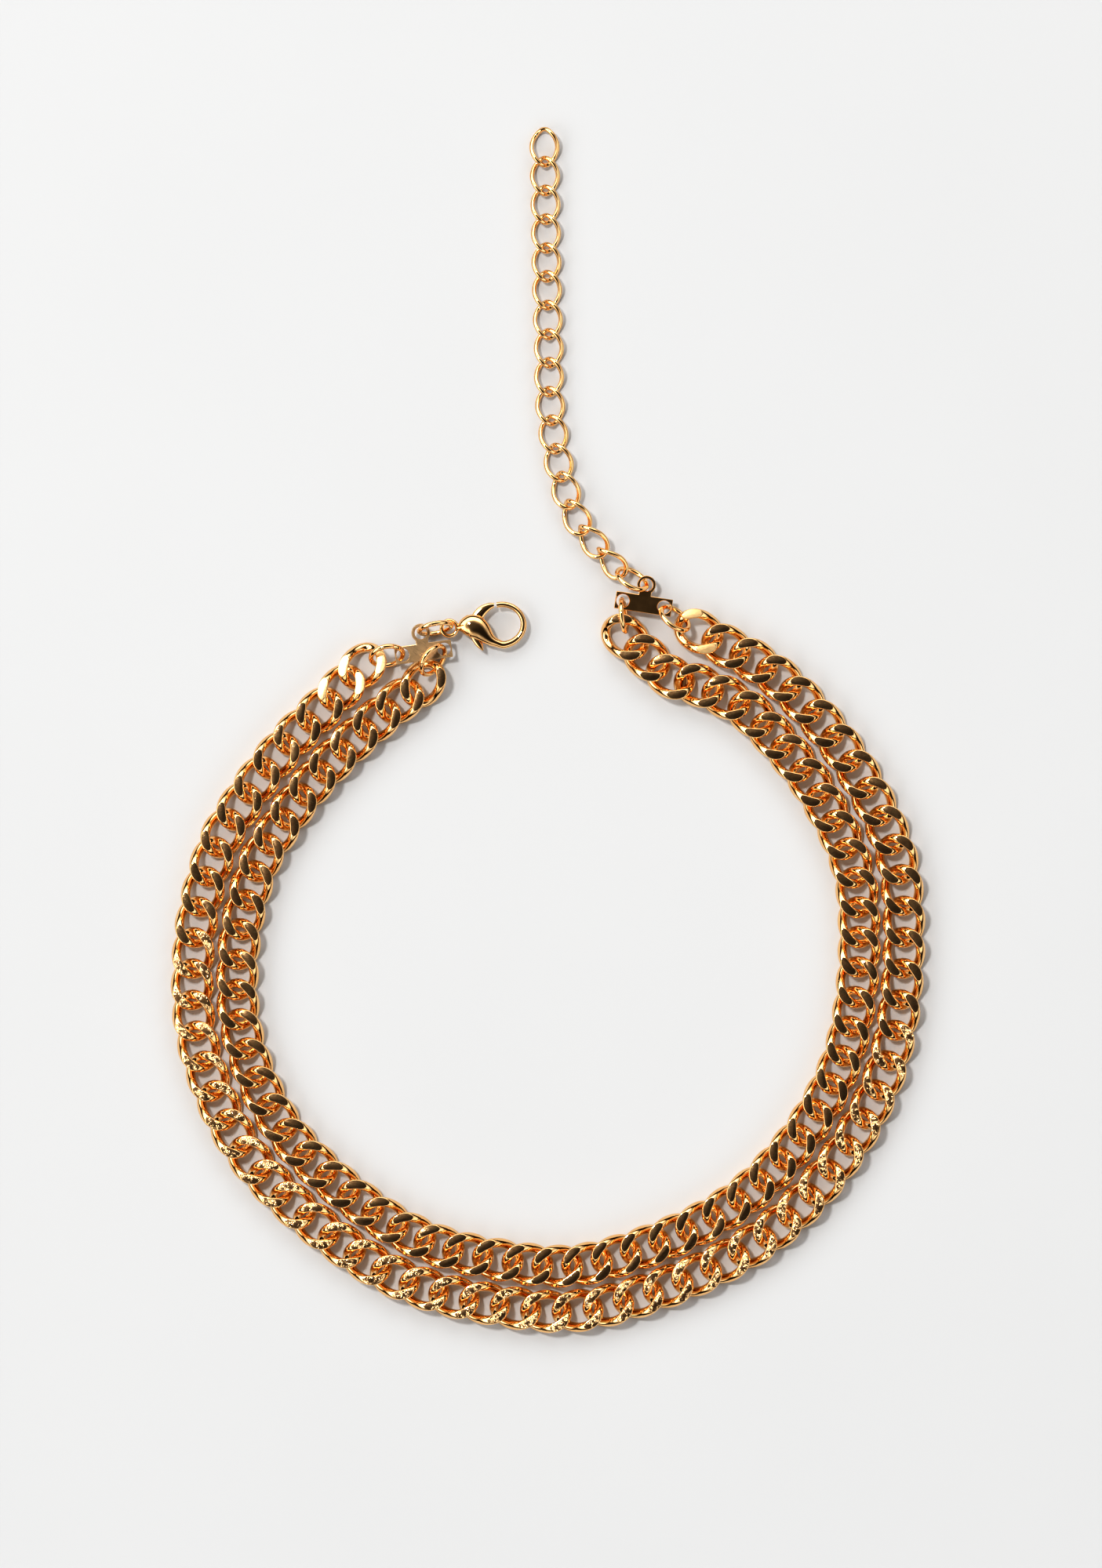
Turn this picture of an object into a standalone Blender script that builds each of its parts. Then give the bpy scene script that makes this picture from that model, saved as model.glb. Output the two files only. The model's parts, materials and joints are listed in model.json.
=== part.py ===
"""Double-strand curb-chain choker, laid flat and closed, with its extender and lobster clasp.

Two ground curb chains run side by side round the neck. A jump ring joins each strand's end to a
small plate with two holes and an eye. One eye carries the extender, the other the clasp. The
model is in metres, +Z up, and rests on z = 0 with its origin under the middle of its box.
"""
import math

import bmesh
import bpy
import numpy as np
from mathutils import Matrix, Vector

# Neck ring: angles are clockwise from +Y, seen from above.
NECK_RADIUS = 0.0570
SECTIONS = 15
# How far the outer strand lies from a true circle: (angle in degrees, metres outwards).
OUTER_LAY = (
    (40, 0.0013), (60, 0.0009), (80, 0.0005), (110, -0.0003), (140, -0.0007), (170, -0.0008),
    (190, -0.0009), (210, -0.0003), (235, 0.0008), (255, 0.0012), (272, 0.0004),
    (287, -0.0003), (297, -0.0013), (308, -0.0021), (318, -0.0023),
)
# How much further in the inner strand sags than side by side with the outer one, where the
# two part near the plates. Between the last two it lies beside the outer strand.
INNER_SAG = ((22.5, 0.0015), (29, 0.0008), (40, 0.0), (318, 0.0), (327, -0.0005))

# Curb link, ground flat above and below
LINK_LENGTH = 0.0085
LINK_WIDTH = 0.0070
LINK_THICKNESS = 0.0031
LINK_WIRE = 0.0016
END_BAR = 0.0019
SIDE_RUN = 0.0032
OUTER_PLAY = 0.00025
INNER_PLAY = 0.00050
STRAND_GAP = 0.00025
BEAD = 0.0007

# End plates
PLATE_LENGTH = 0.0092
PLATE_WIDTH = 0.0028
PLATE_THICKNESS = 0.0006
PLATE_HEIGHT = 0.0020
HOLE_SPACING = 0.0067
HOLE_RADIUS = 0.00100
EYE_RADIUS = 0.00150
EYE_HOLE = 0.00095
EYE_NECK = 0.0031
# The eye's round outline starts at this bearing and runs on for this many degrees
EYE_FROM = -48
EYE_RUN = 276

# Where the plates lie: bearing on the neck ring, distance out from it, turn from +X in degrees
RIGHT_PLATE = (14.6, 0.0022, -9.0)
LEFT_PLATE = (-22.4, -0.0034, 8.0)

# Jump rings: the way from the hole to the ring's far side and how far it leans from upright,
# in degrees
RING_RADIUS = 0.00260
RING_WIRE = 0.00080
RIGHT_OUTER_STAND = (-38, 30)
RIGHT_INNER_STAND = (-84, 8)
LEFT_OUTER_STAND = (192, 34)
LEFT_INNER_STAND = (234, 30)
EXT_STAND = (150, -30)
CLASP_STAND = (11, -16)

# How each strand's end link hangs from its jump ring: way in degrees, slack short of taut in
# metres, and the link's own turn from +X in degrees
RIGHT_OUTER_HANG = (-28, 0.00055, -29)
RIGHT_INNER_HANG = (-86, 0.00145, -38)
LEFT_OUTER_HANG = (202, 0.00065, 43)
LEFT_INNER_HANG = (247, 0.00095, 56)

# Extender
EXT_LINKS = 16
EXT_LENGTH = 0.0066
EXT_WIDTH = 0.0049
EXT_WIRE = 0.00075
EXT_PLAY = 0.00047
EXT_TWIST = 84.0
EXT_ROLL = (-46, -34, -24, -15, -7)
# The extender's lie beyond its connector ring, in metres from the plate's eye
EXT_LAY = (
    (-0.0062, 0.0042), (-0.0113, 0.0108), (-0.0141, 0.0195),
    (-0.0155, 0.0290), (-0.0157, 0.0380), (-0.0160, 0.0480), (-0.0165, 0.0760),
)

# Lobster clasp, in its own frame: origin in the middle of the hook, +X away from the tail. The
# bulb, tail and pivot lie a distance behind the hook's circle.
CLASP_HEADING = 4
CLASP_HEIGHT = 0.0016
HOOK_RADIUS = 0.00315
HOOK_WIRE = 0.00125
HOOK_FROM = -142.0
HOOK_TO = 99.0
BULB_BACK = 0.00175
BULB_CENTRE = -(HOOK_RADIUS + BULB_BACK)
BULB_HALF = (0.0024, 0.00185, 0.00130)
BULB_DROP = 0.0002
# Where the hook leaves the bulb, in shares of the bulb's half length and half width
HOOK_ROOT = (0.46, -0.6)
# The hook's thickness at its root and tip, in shares of its wire
HOOK_TAPER = (1.35, 0.85)
TAIL_RADIUS = 0.00125
TAIL_WIRE = 0.00065
TAIL_BACK = 0.00525
TAIL_CENTRE = -(HOOK_RADIUS + TAIL_BACK)
PIVOT_BACK = 0.00145
PIVOT = (-(HOOK_RADIUS + PIVOT_BACK), -0.0006)
PIN_RADIUS = 0.00035
PIN_GAP = 0.00005
LEVER_WIRE = 0.00085
# The gate's arm: shares of the hook's radius and bearings from the hook's middle in degrees
LEVER_ARM = ((1.156, 127.2), (1.303, 145.9), (1.417, 164.4))
# The thumb nub, from the pivot in metres
NUB = ((0.0003, -0.0013), (0.0008, -0.0024), (0.0013, -0.0030))
NUB_TIP = 0.0003
LEVER_GAP = 0.00025
HUB_RADIUS = 0.00085
# The pocket's far corner, in shares of the bulb's half length and half width
POCKET_REACH = (1.42, 1.4)
PIN_TALL = 0.97
# The leaf spring, from the pivot in metres
SPRING_LEAF = ((-0.0009, 0.0020), (-0.00085, 0.0014), (-0.0009, 0.0009))
SPRING_WIRE = 0.00024
# The lever's tip sweeps between these bearings from the pivot, in degrees from +X
SWING_FROM = 52.0
SWING_TO = -8.0
SWING_DEPTH = 0.45

# Facets round a wire and steps round a loop
SIDES = 6
RING_STEPS = 14
LINK_STEPS = 12
HOOK_STEPS = 12
EYE_STEPS = 10
HOLE_SIDES = 12
UP = Vector((0, 0, 1))

# Colours and roughnesses
GOLD = ((0.93, 0.62, 0.26), 0.18)
PLATE_GOLD = ((0.86, 0.58, 0.28), 0.12)
STEEL = ((0.72, 0.66, 0.58), 0.3)
SHARP_FROM = 40


# Materials -------------------------------------------------------------------------------------

def finish(name, colour, roughness):
    """A plated metal finish."""
    material = bpy.data.materials.new(name)
    material.use_nodes = True
    shader = material.node_tree.nodes["Principled BSDF"]
    shader.inputs["Base Color"].default_value = (*colour, 1)
    shader.inputs["Metallic"].default_value = 1
    shader.inputs["Roughness"].default_value = roughness
    return material


def piece_finish(name):
    """Each piece's own gold: links polished, plates and springs a little different."""
    if name.endswith("bar"):
        return finish(name, *PLATE_GOLD)
    if name in ("clasp_pin", "clasp_spring"):
        return finish(name, *STEEL)
    return finish(name, *GOLD)


# Curves ----------------------------------------------------------------------------------------

def on_ring(bearing, radius):
    """The point at a clockwise bearing in degrees and a radius from the neck's middle."""
    turn = math.radians(bearing)
    return Vector((radius * math.sin(turn), radius * math.cos(turn), 0))


def smooth_path(points, step=0.0001):
    """A fine row of points along one smooth curve through the given ones."""
    rows = [Vector(p).to_3d() for p in points]
    rows = [2 * rows[0] - rows[1]] + rows + [2 * rows[-1] - rows[-2]]
    fine = []
    for before, start, end, after in zip(rows, rows[1:], rows[2:], rows[3:]):
        count = max(2, int((end - start).length / step))
        for k in range(count):
            u = k / count
            a = start * 2
            b = (end - before) * u
            c = (before * 2 - start * 5 + end * 4 - after) * u ** 2
            d = (start * 3 - before - end * 3 + after) * u ** 3
            fine.append((a + b + c + d) / 2)
    fine.append(rows[-2])
    return fine


def spaced_frames(path, count, height):
    """Link frames at even steps along a path: X along it, Y to its left, Z up."""
    lengths = np.cumsum([0.0] + [(q - p).length for p, q in zip(path, path[1:])])
    frames = []
    for s in np.linspace(0, lengths[-1], count):
        i = min(int(np.searchsorted(lengths, s)), len(path) - 2)
        i = max(i, 1)
        along = (path[i + 1] - path[i - 1]).normalized()
        frames.append(frame_at(path[i], along, height))
    return frames


def frame_at(point, along, height):
    """A level frame at a point, X along a heading."""
    along = Vector((along.x, along.y, 0)).normalized()
    left = UP.cross(along)
    frame = Matrix((along, left, UP)).transposed().to_4x4()
    frame.translation = Vector((point.x, point.y, height))
    return frame


def path_length(path):
    return sum((q - p).length for p, q in zip(path, path[1:]))


# Mesh pieces -----------------------------------------------------------------------------------

def tube(bm, rings, closed=True):
    """Join equal rings of corners into one tube, closed on itself or capped."""
    rows = [[bm.verts.new(corner) for corner in ring] for ring in rings]
    pairs = list(zip(rows, rows[1:]))
    if closed:
        pairs.append((rows[-1], rows[0]))
    for row, after in pairs:
        for j in range(len(row)):
            k = (j + 1) % len(row)
            bm.faces.new((row[j], row[k], after[k], after[j]))
    if not closed:
        bm.faces.new(rows[0])
        bm.faces.new(rows[-1])


def section_ring(centre, side, up, radius, sides):
    """Corners of a wire's cross-section, with a flat on top where sides is six."""
    turns = [2 * math.pi * k / sides for k in range(sides)]
    return [centre + side * radius * math.cos(t) + up * radius * math.sin(t) for t in turns]


def add_curb_link(bm, frame):
    """A twisted link of wire: level ground runs at two corners above and two below."""
    radius = LINK_WIRE / 2
    end = LINK_LENGTH / 2 - radius
    edge = LINK_WIDTH / 2 - radius
    lift = LINK_THICKNESS / 2 - radius * math.sin(math.radians(60))
    run = SIDE_RUN / 2
    bar = END_BAR / 2
    corners = [
        (end, bar, -lift), (run, edge, -lift), (-run, edge, lift), (-end, bar, lift),
        (-end, -bar, -lift), (-run, -edge, -lift), (run, -edge, lift), (end, -bar, lift),
    ]
    corners = [Vector(c) for c in corners]
    rings = []
    for i, corner in enumerate(corners):
        before = corner - corners[i - 1]
        after = corners[(i + 1) % len(corners)] - corner
        before.z = after.z = 0
        along = (before.normalized() + after.normalized()).normalized()
        spread = 1 / max(0.5, along.dot(after.normalized()))
        ring = section_ring(corner, along.cross(UP) * spread, UP, radius, SIDES)
        rings.append([frame @ c for c in ring])
    tube(bm, rings)


def loop_points(half_length, half_width, steps, twist=0.0, roll=0.0):
    """Points round an oval, twisted about its length and rolled as a whole, in degrees."""
    points = []
    for k in range(steps):
        turn = 2 * math.pi * k / steps
        lean = math.radians(roll) - math.radians(twist / 2) * math.cos(turn)
        across = half_width * math.sin(turn)
        points.append(Vector((
            half_length * math.cos(turn), across * math.cos(lean), across * math.sin(lean))))
    return points


def add_loop(bm, frame, points, wire, sides=5):
    """A closed loop of round wire through points in a frame."""
    steps = len(points)
    rings = []
    for i, point in enumerate(points):
        along = (points[(i + 1) % steps] - points[i - 1]).normalized()
        out = (point - along * point.dot(along)).normalized()
        rings.append([
            frame @ c for c in section_ring(point, out, along.cross(out), wire / 2, sides)])
    tube(bm, rings)


def add_rod(bm, points, radii, sides=8):
    """A capped rod along a row of points in a level plane, with a radius at each."""
    rings = []
    for i, point in enumerate(points):
        before = points[max(i - 1, 0)]
        after = points[min(i + 1, len(points) - 1)]
        along = (after - before).normalized()
        side = along.cross(UP).normalized()
        rings.append(section_ring(point, side, side.cross(along), radii[i], sides))
    tube(bm, rings, closed=False)


def add_disc(bm, centre, radius, low, high, sides=16):
    """A short upright cylinder."""
    made = bmesh.ops.create_cone(
        bm, cap_ends=True, segments=sides, radius1=radius, radius2=radius, depth=high - low)
    place = Vector((centre[0], centre[1], (low + high) / 2))
    bmesh.ops.translate(bm, verts=made["verts"], vec=place)


def add_box(bm, low, high):
    """A box between two corners."""
    made = bmesh.ops.create_cube(bm, size=1)
    low, high = Vector(low), Vector(high)
    bmesh.ops.scale(bm, verts=made["verts"], vec=high - low)
    bmesh.ops.translate(bm, verts=made["verts"], vec=(low + high) / 2)


def mesh_from(name, build):
    """A mesh holding what build adds to an empty bmesh, faces pointing out."""
    bm = bmesh.new()
    build(bm)
    bmesh.ops.recalc_face_normals(bm, faces=bm.faces)
    mesh = bpy.data.meshes.new(name)
    bm.to_mesh(mesh)
    bm.free()
    return mesh


# Objects ---------------------------------------------------------------------------------------

def link_to_scene(name, mesh):
    made = bpy.data.objects.new(name, mesh)
    bpy.context.collection.objects.link(made)
    return made


def place_on_joint(made, joint, parent):
    """Put an object's origin on its joint, local X along the hinge, without moving its shape."""
    if made.data is not None:
        made.data.transform(joint.inverted())
    made.parent = parent
    made.matrix_world = joint


def piece(name, build, joint, parent):
    """One named sub-part, modelled in place and hung on its joint."""
    mesh = mesh_from(name, build)
    mesh.materials.append(piece_finish(name))
    mesh.shade_smooth()
    mesh.set_sharp_from_angle(angle=math.radians(SHARP_FROM))
    made = link_to_scene(name, mesh)
    place_on_joint(made, joint, parent)
    bpy.context.view_layer.update()
    return made


def shape_with(made, operation, build):
    """Add or cut a shape, kept as a hidden guide beside the piece."""
    name = f"{made.name}_{operation.lower()}_{len(made.modifiers)}"
    guide = link_to_scene(name, mesh_from(name, build))
    guide.parent = made
    guide.matrix_world = Matrix()
    guide.hide_render = True
    guide.display_type = 'WIRE'
    modifier = made.modifiers.new(name, 'BOOLEAN')
    modifier.operation = operation
    modifier.solver = 'EXACT'
    modifier.object = guide
    bpy.context.view_layer.update()


def hinge(point, along):
    """A joint frame at a point with its X along the hinge."""
    return frame_at(point, along, point.z)


# Layout ----------------------------------------------------------------------------------------

def plate_frame(place):
    bearing, outwards, turn = place
    point = on_ring(bearing, NECK_RADIUS + outwards)
    turn = math.radians(turn)
    return frame_at(point, Vector((math.cos(turn), math.sin(turn), 0)), PLATE_HEIGHT)


def ring_frame(hole, stand):
    """A jump ring that stands on z = 0 through a hole: X along its heading, Z its own axis."""
    along = heading_of(stand[0])
    tip = math.radians(stand[1])
    rise = along.cross(UP) * math.sin(tip) + UP * math.cos(tip)
    height = RING_RADIUS * math.cos(tip) + RING_WIRE / 2
    drop = math.asin((height - hole.z) / (RING_RADIUS * math.cos(tip)))
    centre = hole + along * RING_RADIUS * math.cos(drop) + rise * RING_RADIUS * math.sin(drop)
    frame = Matrix((along, rise, along.cross(rise))).transposed().to_4x4()
    frame.translation = centre
    return frame


def through_ring(ring, height):
    """Where the far side of a ring passes a height."""
    rise = ring.to_3x3().col[1]
    climb = (height - ring.translation.z) / rise.z
    along = ring.to_3x3().col[0] * math.sqrt(RING_RADIUS ** 2 - climb ** 2)
    return ring.translation + along + rise * climb


class Strand:
    """One curb chain: its link frames and the points where its links cross."""

    def __init__(self, lay, play, first_turn, last_turn):
        pitch = LINK_LENGTH - 2 * LINK_WIRE - play
        path = smooth_path(lay)
        self.count = max(SECTIONS, round(path_length(path) / pitch) + 1)
        self.links = spaced_frames(path, self.count, LINK_THICKNESS / 2)
        for i, turn in ((0, first_turn), (-1, last_turn)):
            middle = self.links[i].translation
            self.links[i] = frame_at(middle, heading_of(turn), middle.z)
        centres = [frame.translation for frame in self.links]
        self.crossings = [(p + q) / 2 for p, q in zip(centres, centres[1:])]

    def sections(self, breaks):
        """The links of each section, given the crossing that ends each but the last."""
        starts = [0] + [b + 1 for b in breaks]
        ends = [b + 1 for b in breaks] + [self.count]
        return [range(start, end) for start, end in zip(starts, ends)]


def bearing_of(point):
    return math.degrees(math.atan2(point.x, point.y)) % 360


def hung_from(ring, hang):
    """The middle of the strand's end link, hung from a jump ring."""
    taut = RING_RADIUS - RING_WIRE / 2 + LINK_LENGTH / 2 - LINK_WIRE
    point = ring.translation + heading_of(hang[0]) * (taut - hang[1])
    return Vector((point.x, point.y, 0))


def heading_of(degrees):
    turn = math.radians(degrees)
    return Vector((math.cos(turn), math.sin(turn), 0))


def outer_lay(first, last):
    lay = [on_ring(bearing, NECK_RADIUS + out) for bearing, out in OUTER_LAY]
    return [first] + lay + [last]


def inner_lay(first, last):
    spacing = LINK_WIDTH + STRAND_GAP
    bearings = [bearing for bearing, _ in OUTER_LAY]
    outs = [out for _, out in OUTER_LAY]
    sag_at = [bearing for bearing, _ in INNER_SAG]
    sags = [sag for _, sag in INNER_SAG]
    lay = []
    for bearing in sorted(set(bearings + sag_at)):
        out = float(np.interp(bearing, bearings, outs))
        sag = float(np.interp(bearing, sag_at, sags))
        lay.append(on_ring(bearing, NECK_RADIUS + out - spacing - sag))
    return [first] + lay + [last]


# Sub-parts -------------------------------------------------------------------------------------

def plate(name, frame, joint, parent):
    """An end plate: a bar with a hole at each end and an eye on a neck above its middle."""
    def outline(bm):
        low, high = PLATE_HEIGHT - PLATE_THICKNESS / 2, PLATE_HEIGHT + PLATE_THICKNESS / 2
        half, edge = PLATE_LENGTH / 2, PLATE_WIDTH / 2
        shape = [(-half, -edge), (half, -edge), (half, edge)]
        for k in range(EYE_STEPS + 1):
            turn = math.radians(EYE_FROM + EYE_RUN * k / EYE_STEPS)
            shape.append((EYE_RADIUS * math.cos(turn), EYE_NECK + EYE_RADIUS * math.sin(turn)))
        shape.insert(3, (shape[3][0], edge))
        shape += [(shape[-1][0], edge), (-half, edge)]
        face = bm.faces.new([bm.verts.new((x, y, low)) for x, y in shape])
        made = bmesh.ops.extrude_face_region(bm, geom=[face])
        raised = [v for v in made["geom"] if isinstance(v, bmesh.types.BMVert)]
        bmesh.ops.translate(bm, verts=raised, vec=(0, 0, high - low))
        bmesh.ops.transform(bm, matrix=level(frame), verts=bm.verts)

    def holes(bm):
        for x, y, radius in plate_holes():
            add_disc(bm, (x, y), radius, 0, 2 * PLATE_HEIGHT, HOLE_SIDES)
        bmesh.ops.transform(bm, matrix=level(frame), verts=bm.verts)

    made = piece(name, outline, joint, parent)
    shape_with(made, 'DIFFERENCE', holes)
    return made


def plate_holes():
    """Each hole's middle on the plate and its radius: left, right and the eye."""
    half = HOLE_SPACING / 2
    return [(-half, 0, HOLE_RADIUS), (half, 0, HOLE_RADIUS), (0, EYE_NECK, EYE_HOLE)]


def level(frame):
    """The same frame, on z = 0."""
    flat = frame.copy()
    flat.translation.z = 0
    return flat


def jump_ring(name, frame, joint, parent):
    def build(bm):
        add_loop(bm, frame, loop_points(RING_RADIUS, RING_RADIUS, RING_STEPS), RING_WIRE, SIDES)
    return piece(name, build, joint, parent)


def section(name, strand, links, joint, parent):
    """A few interlocked links, held by a bead of solder where each crosses the next."""
    def build(bm):
        for i in links:
            add_curb_link(bm, strand.links[i])

    def beads(bm):
        reach = LINK_LENGTH / 2 - LINK_WIRE / 2
        for i in list(links)[:-1]:
            end = strand.links[i] @ Vector((reach, 0, 0))
            start = strand.links[i + 1] @ Vector((-reach, 0, 0))
            add_rod(bm, [start, end], [BEAD / 2] * 2, 4)

    made = piece(name, build, joint, parent)
    if len(links) > 1:
        shape_with(made, 'UNION', beads)
    return made


def extender_points(roll):
    half_length = (EXT_LENGTH - EXT_WIRE) / 2
    half_width = (EXT_WIDTH - EXT_WIRE) / 2
    return loop_points(half_length, half_width, LINK_STEPS, EXT_TWIST, roll)


def extender_roll(k):
    """How far a link is rolled about its length: the ones by the connector ring stand up."""
    return EXT_ROLL[k] if k < len(EXT_ROLL) else 0


def extender_height(roll):
    """The height of a rolled link's middle, so that it rests on z = 0."""
    return max(abs(point.z) for point in extender_points(roll)) + EXT_WIRE / 2


def extender_link(name, frame, roll, joint, parent):
    def build(bm):
        add_loop(bm, frame, extender_points(roll), EXT_WIRE)
    return piece(name, build, joint, parent)


def in_frame(frame, points):
    return [frame @ Vector((x, y, 0)) for x, y in points]


def add_slab(bm, outline, deep):
    """A level outline thickened equally up and down."""
    face = bm.faces.new([bm.verts.new((x, y, -deep)) for x, y in outline])
    made = bmesh.ops.extrude_face_region(bm, geom=[face])
    raised = [v for v in made["geom"] if isinstance(v, bmesh.types.BMVert)]
    bmesh.ops.translate(bm, verts=raised, vec=(0, 0, 2 * deep))


def hook_path():
    """The hook's centreline: out of the bulb and round to its tip."""
    path = [(BULB_CENTRE + BULB_HALF[0] * HOOK_ROOT[0], BULB_HALF[1] * HOOK_ROOT[1])]
    for k in range(HOOK_STEPS + 1):
        turn = math.radians(HOOK_FROM + (HOOK_TO - HOOK_FROM) * k / HOOK_STEPS)
        path.append((HOOK_RADIUS * math.cos(turn), HOOK_RADIUS * math.sin(turn)))
    return path


def lever_path():
    """The lever's centreline: from the gate's tip, through the pivot, to the thumb nub."""
    tip = math.radians(HOOK_TO)
    gap = LEVER_GAP * 1.4
    path = [(HOOK_RADIUS * math.cos(tip) - gap, HOOK_RADIUS * math.sin(tip) - gap * 0.1)]
    for share, bearing in LEVER_ARM:
        turn = math.radians(bearing)
        path.append((HOOK_RADIUS * share * math.cos(turn), HOOK_RADIUS * share * math.sin(turn)))
    return path + [PIVOT] + [(PIVOT[0] + x, PIVOT[1] + y) for x, y in NUB]


def swing_outline():
    """The area that the lever's tip sweeps as it opens, with its gap, beyond the hook's root."""
    tip, after = [Vector(point) for point in lever_path()[:2]]
    corner = tip + (tip - after).normalized().orthogonal() * LEVER_WIRE / 2
    pivot = Vector(PIVOT)
    reach = max((corner - pivot).length, (2 * tip - corner - pivot).length) + LEVER_GAP * 0.8
    inner = reach * (1 - SWING_DEPTH)
    turns = [math.radians(SWING_TO + (SWING_FROM - SWING_TO) * k / 8) for k in range(9)]
    outline = [pivot + Vector((math.cos(t), math.sin(t))) * reach for t in turns]
    outline += [pivot + Vector((math.cos(t), math.sin(t))) * inner for t in (turns[-1], turns[0])]
    return outline


def clasp_body(frame, joint, parent):
    """The cast hook: a bulb with a pocket for the lever, a tail loop and the hook."""
    def bulb(bm):
        made = bmesh.ops.create_uvsphere(bm, u_segments=14, v_segments=8, radius=1)
        bmesh.ops.scale(bm, verts=made["verts"], vec=BULB_HALF)
        bmesh.ops.translate(bm, verts=made["verts"], vec=(BULB_CENTRE, -BULB_DROP, 0))
        bmesh.ops.transform(bm, matrix=frame, verts=bm.verts)

    def tail(bm):
        offset = frame @ Matrix.Translation((TAIL_CENTRE, 0, 0))
        add_loop(bm, offset, loop_points(TAIL_RADIUS, TAIL_RADIUS, LINK_STEPS), TAIL_WIRE, SIDES)

    def hook(bm):
        path = hook_path()
        shares = np.linspace(HOOK_TAPER[0], HOOK_TAPER[1], len(path))
        radii = [HOOK_WIRE / 2 * float(share) for share in shares]
        add_rod(bm, in_frame(frame, path), radii)

    def pocket(bm):
        deep = LEVER_WIRE / 2 + LEVER_GAP
        low = (PIVOT[0] - HUB_RADIUS - LEVER_GAP, PIVOT[1] - LEVER_GAP * 0.8, -deep)
        reach = (BULB_HALF[0] * POCKET_REACH[0], BULB_HALF[1] * POCKET_REACH[1])
        add_box(bm, low, (BULB_CENTRE + reach[0], reach[1], deep))
        bmesh.ops.transform(bm, matrix=frame, verts=bm.verts)

    def nub_slot(bm):
        deep = LEVER_WIRE / 2 + LEVER_GAP
        low = (PIVOT[0] - HUB_RADIUS - LEVER_GAP, PIVOT[1] + NUB[1][1], -deep)
        add_box(bm, low, (PIVOT[0] + HUB_RADIUS + LEVER_GAP * 0.6, 0, deep))
        bmesh.ops.transform(bm, matrix=frame, verts=bm.verts)

    def pin_hole(bm):
        tall = BULB_HALF[2] * 1.5
        add_disc(bm, PIVOT, PIN_RADIUS + PIN_GAP, -tall, tall, HOLE_SIDES)
        bmesh.ops.transform(bm, matrix=frame, verts=bm.verts)

    def tip_relief(bm):
        add_slab(bm, swing_outline(), HOOK_WIRE)
        bmesh.ops.transform(bm, matrix=frame, verts=bm.verts)

    made = piece("clasp_body", bulb, joint, parent)
    shape_with(made, 'UNION', tail)
    shape_with(made, 'UNION', hook)
    shape_with(made, 'DIFFERENCE', pocket)
    shape_with(made, 'DIFFERENCE', nub_slot)
    shape_with(made, 'DIFFERENCE', pin_hole)
    shape_with(made, 'DIFFERENCE', tip_relief)
    return made


def clasp_lever(frame, joint, parent):
    """The gate: an arm to the hook's tip, a hub on the pin and a thumb nub."""
    def arm(bm):
        path = lever_path()
        add_rod(bm, in_frame(frame, path), [LEVER_WIRE / 2] * (len(path) - 1) + [NUB_TIP])

    def hub(bm):
        add_disc(bm, PIVOT, HUB_RADIUS, -LEVER_WIRE / 2, LEVER_WIRE / 6, HOLE_SIDES)
        bmesh.ops.transform(bm, matrix=frame, verts=bm.verts)

    def bore(bm):
        add_disc(bm, PIVOT, PIN_RADIUS + PIN_GAP, -LEVER_WIRE, LEVER_WIRE, HOLE_SIDES)
        bmesh.ops.transform(bm, matrix=frame, verts=bm.verts)

    made = piece("clasp_lever", arm, joint, parent)
    shape_with(made, 'UNION', hub)
    shape_with(made, 'DIFFERENCE', bore)
    return made


def clasp_pin(frame, parent):
    """The rivet through the bulb and the lever's hub."""
    def build(bm):
        tall = BULB_HALF[2] * PIN_TALL
        add_disc(bm, PIVOT, PIN_RADIUS, -tall, tall, 10)
        bmesh.ops.transform(bm, matrix=frame, verts=bm.verts)
    return piece("clasp_pin", build, frame, parent)


def clasp_spring(frame, parent):
    """The small bent leaf that pushes the gate shut, in the pocket behind the lever."""
    def build(bm):
        leaf = [(PIVOT[0] + x, PIVOT[1] + y) for x, y in SPRING_LEAF]
        add_rod(bm, in_frame(frame, leaf), [SPRING_WIRE / 2] * len(leaf), SIDES)
    return piece("clasp_spring", build, frame, parent)


# Assembly --------------------------------------------------------------------------------------

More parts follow.
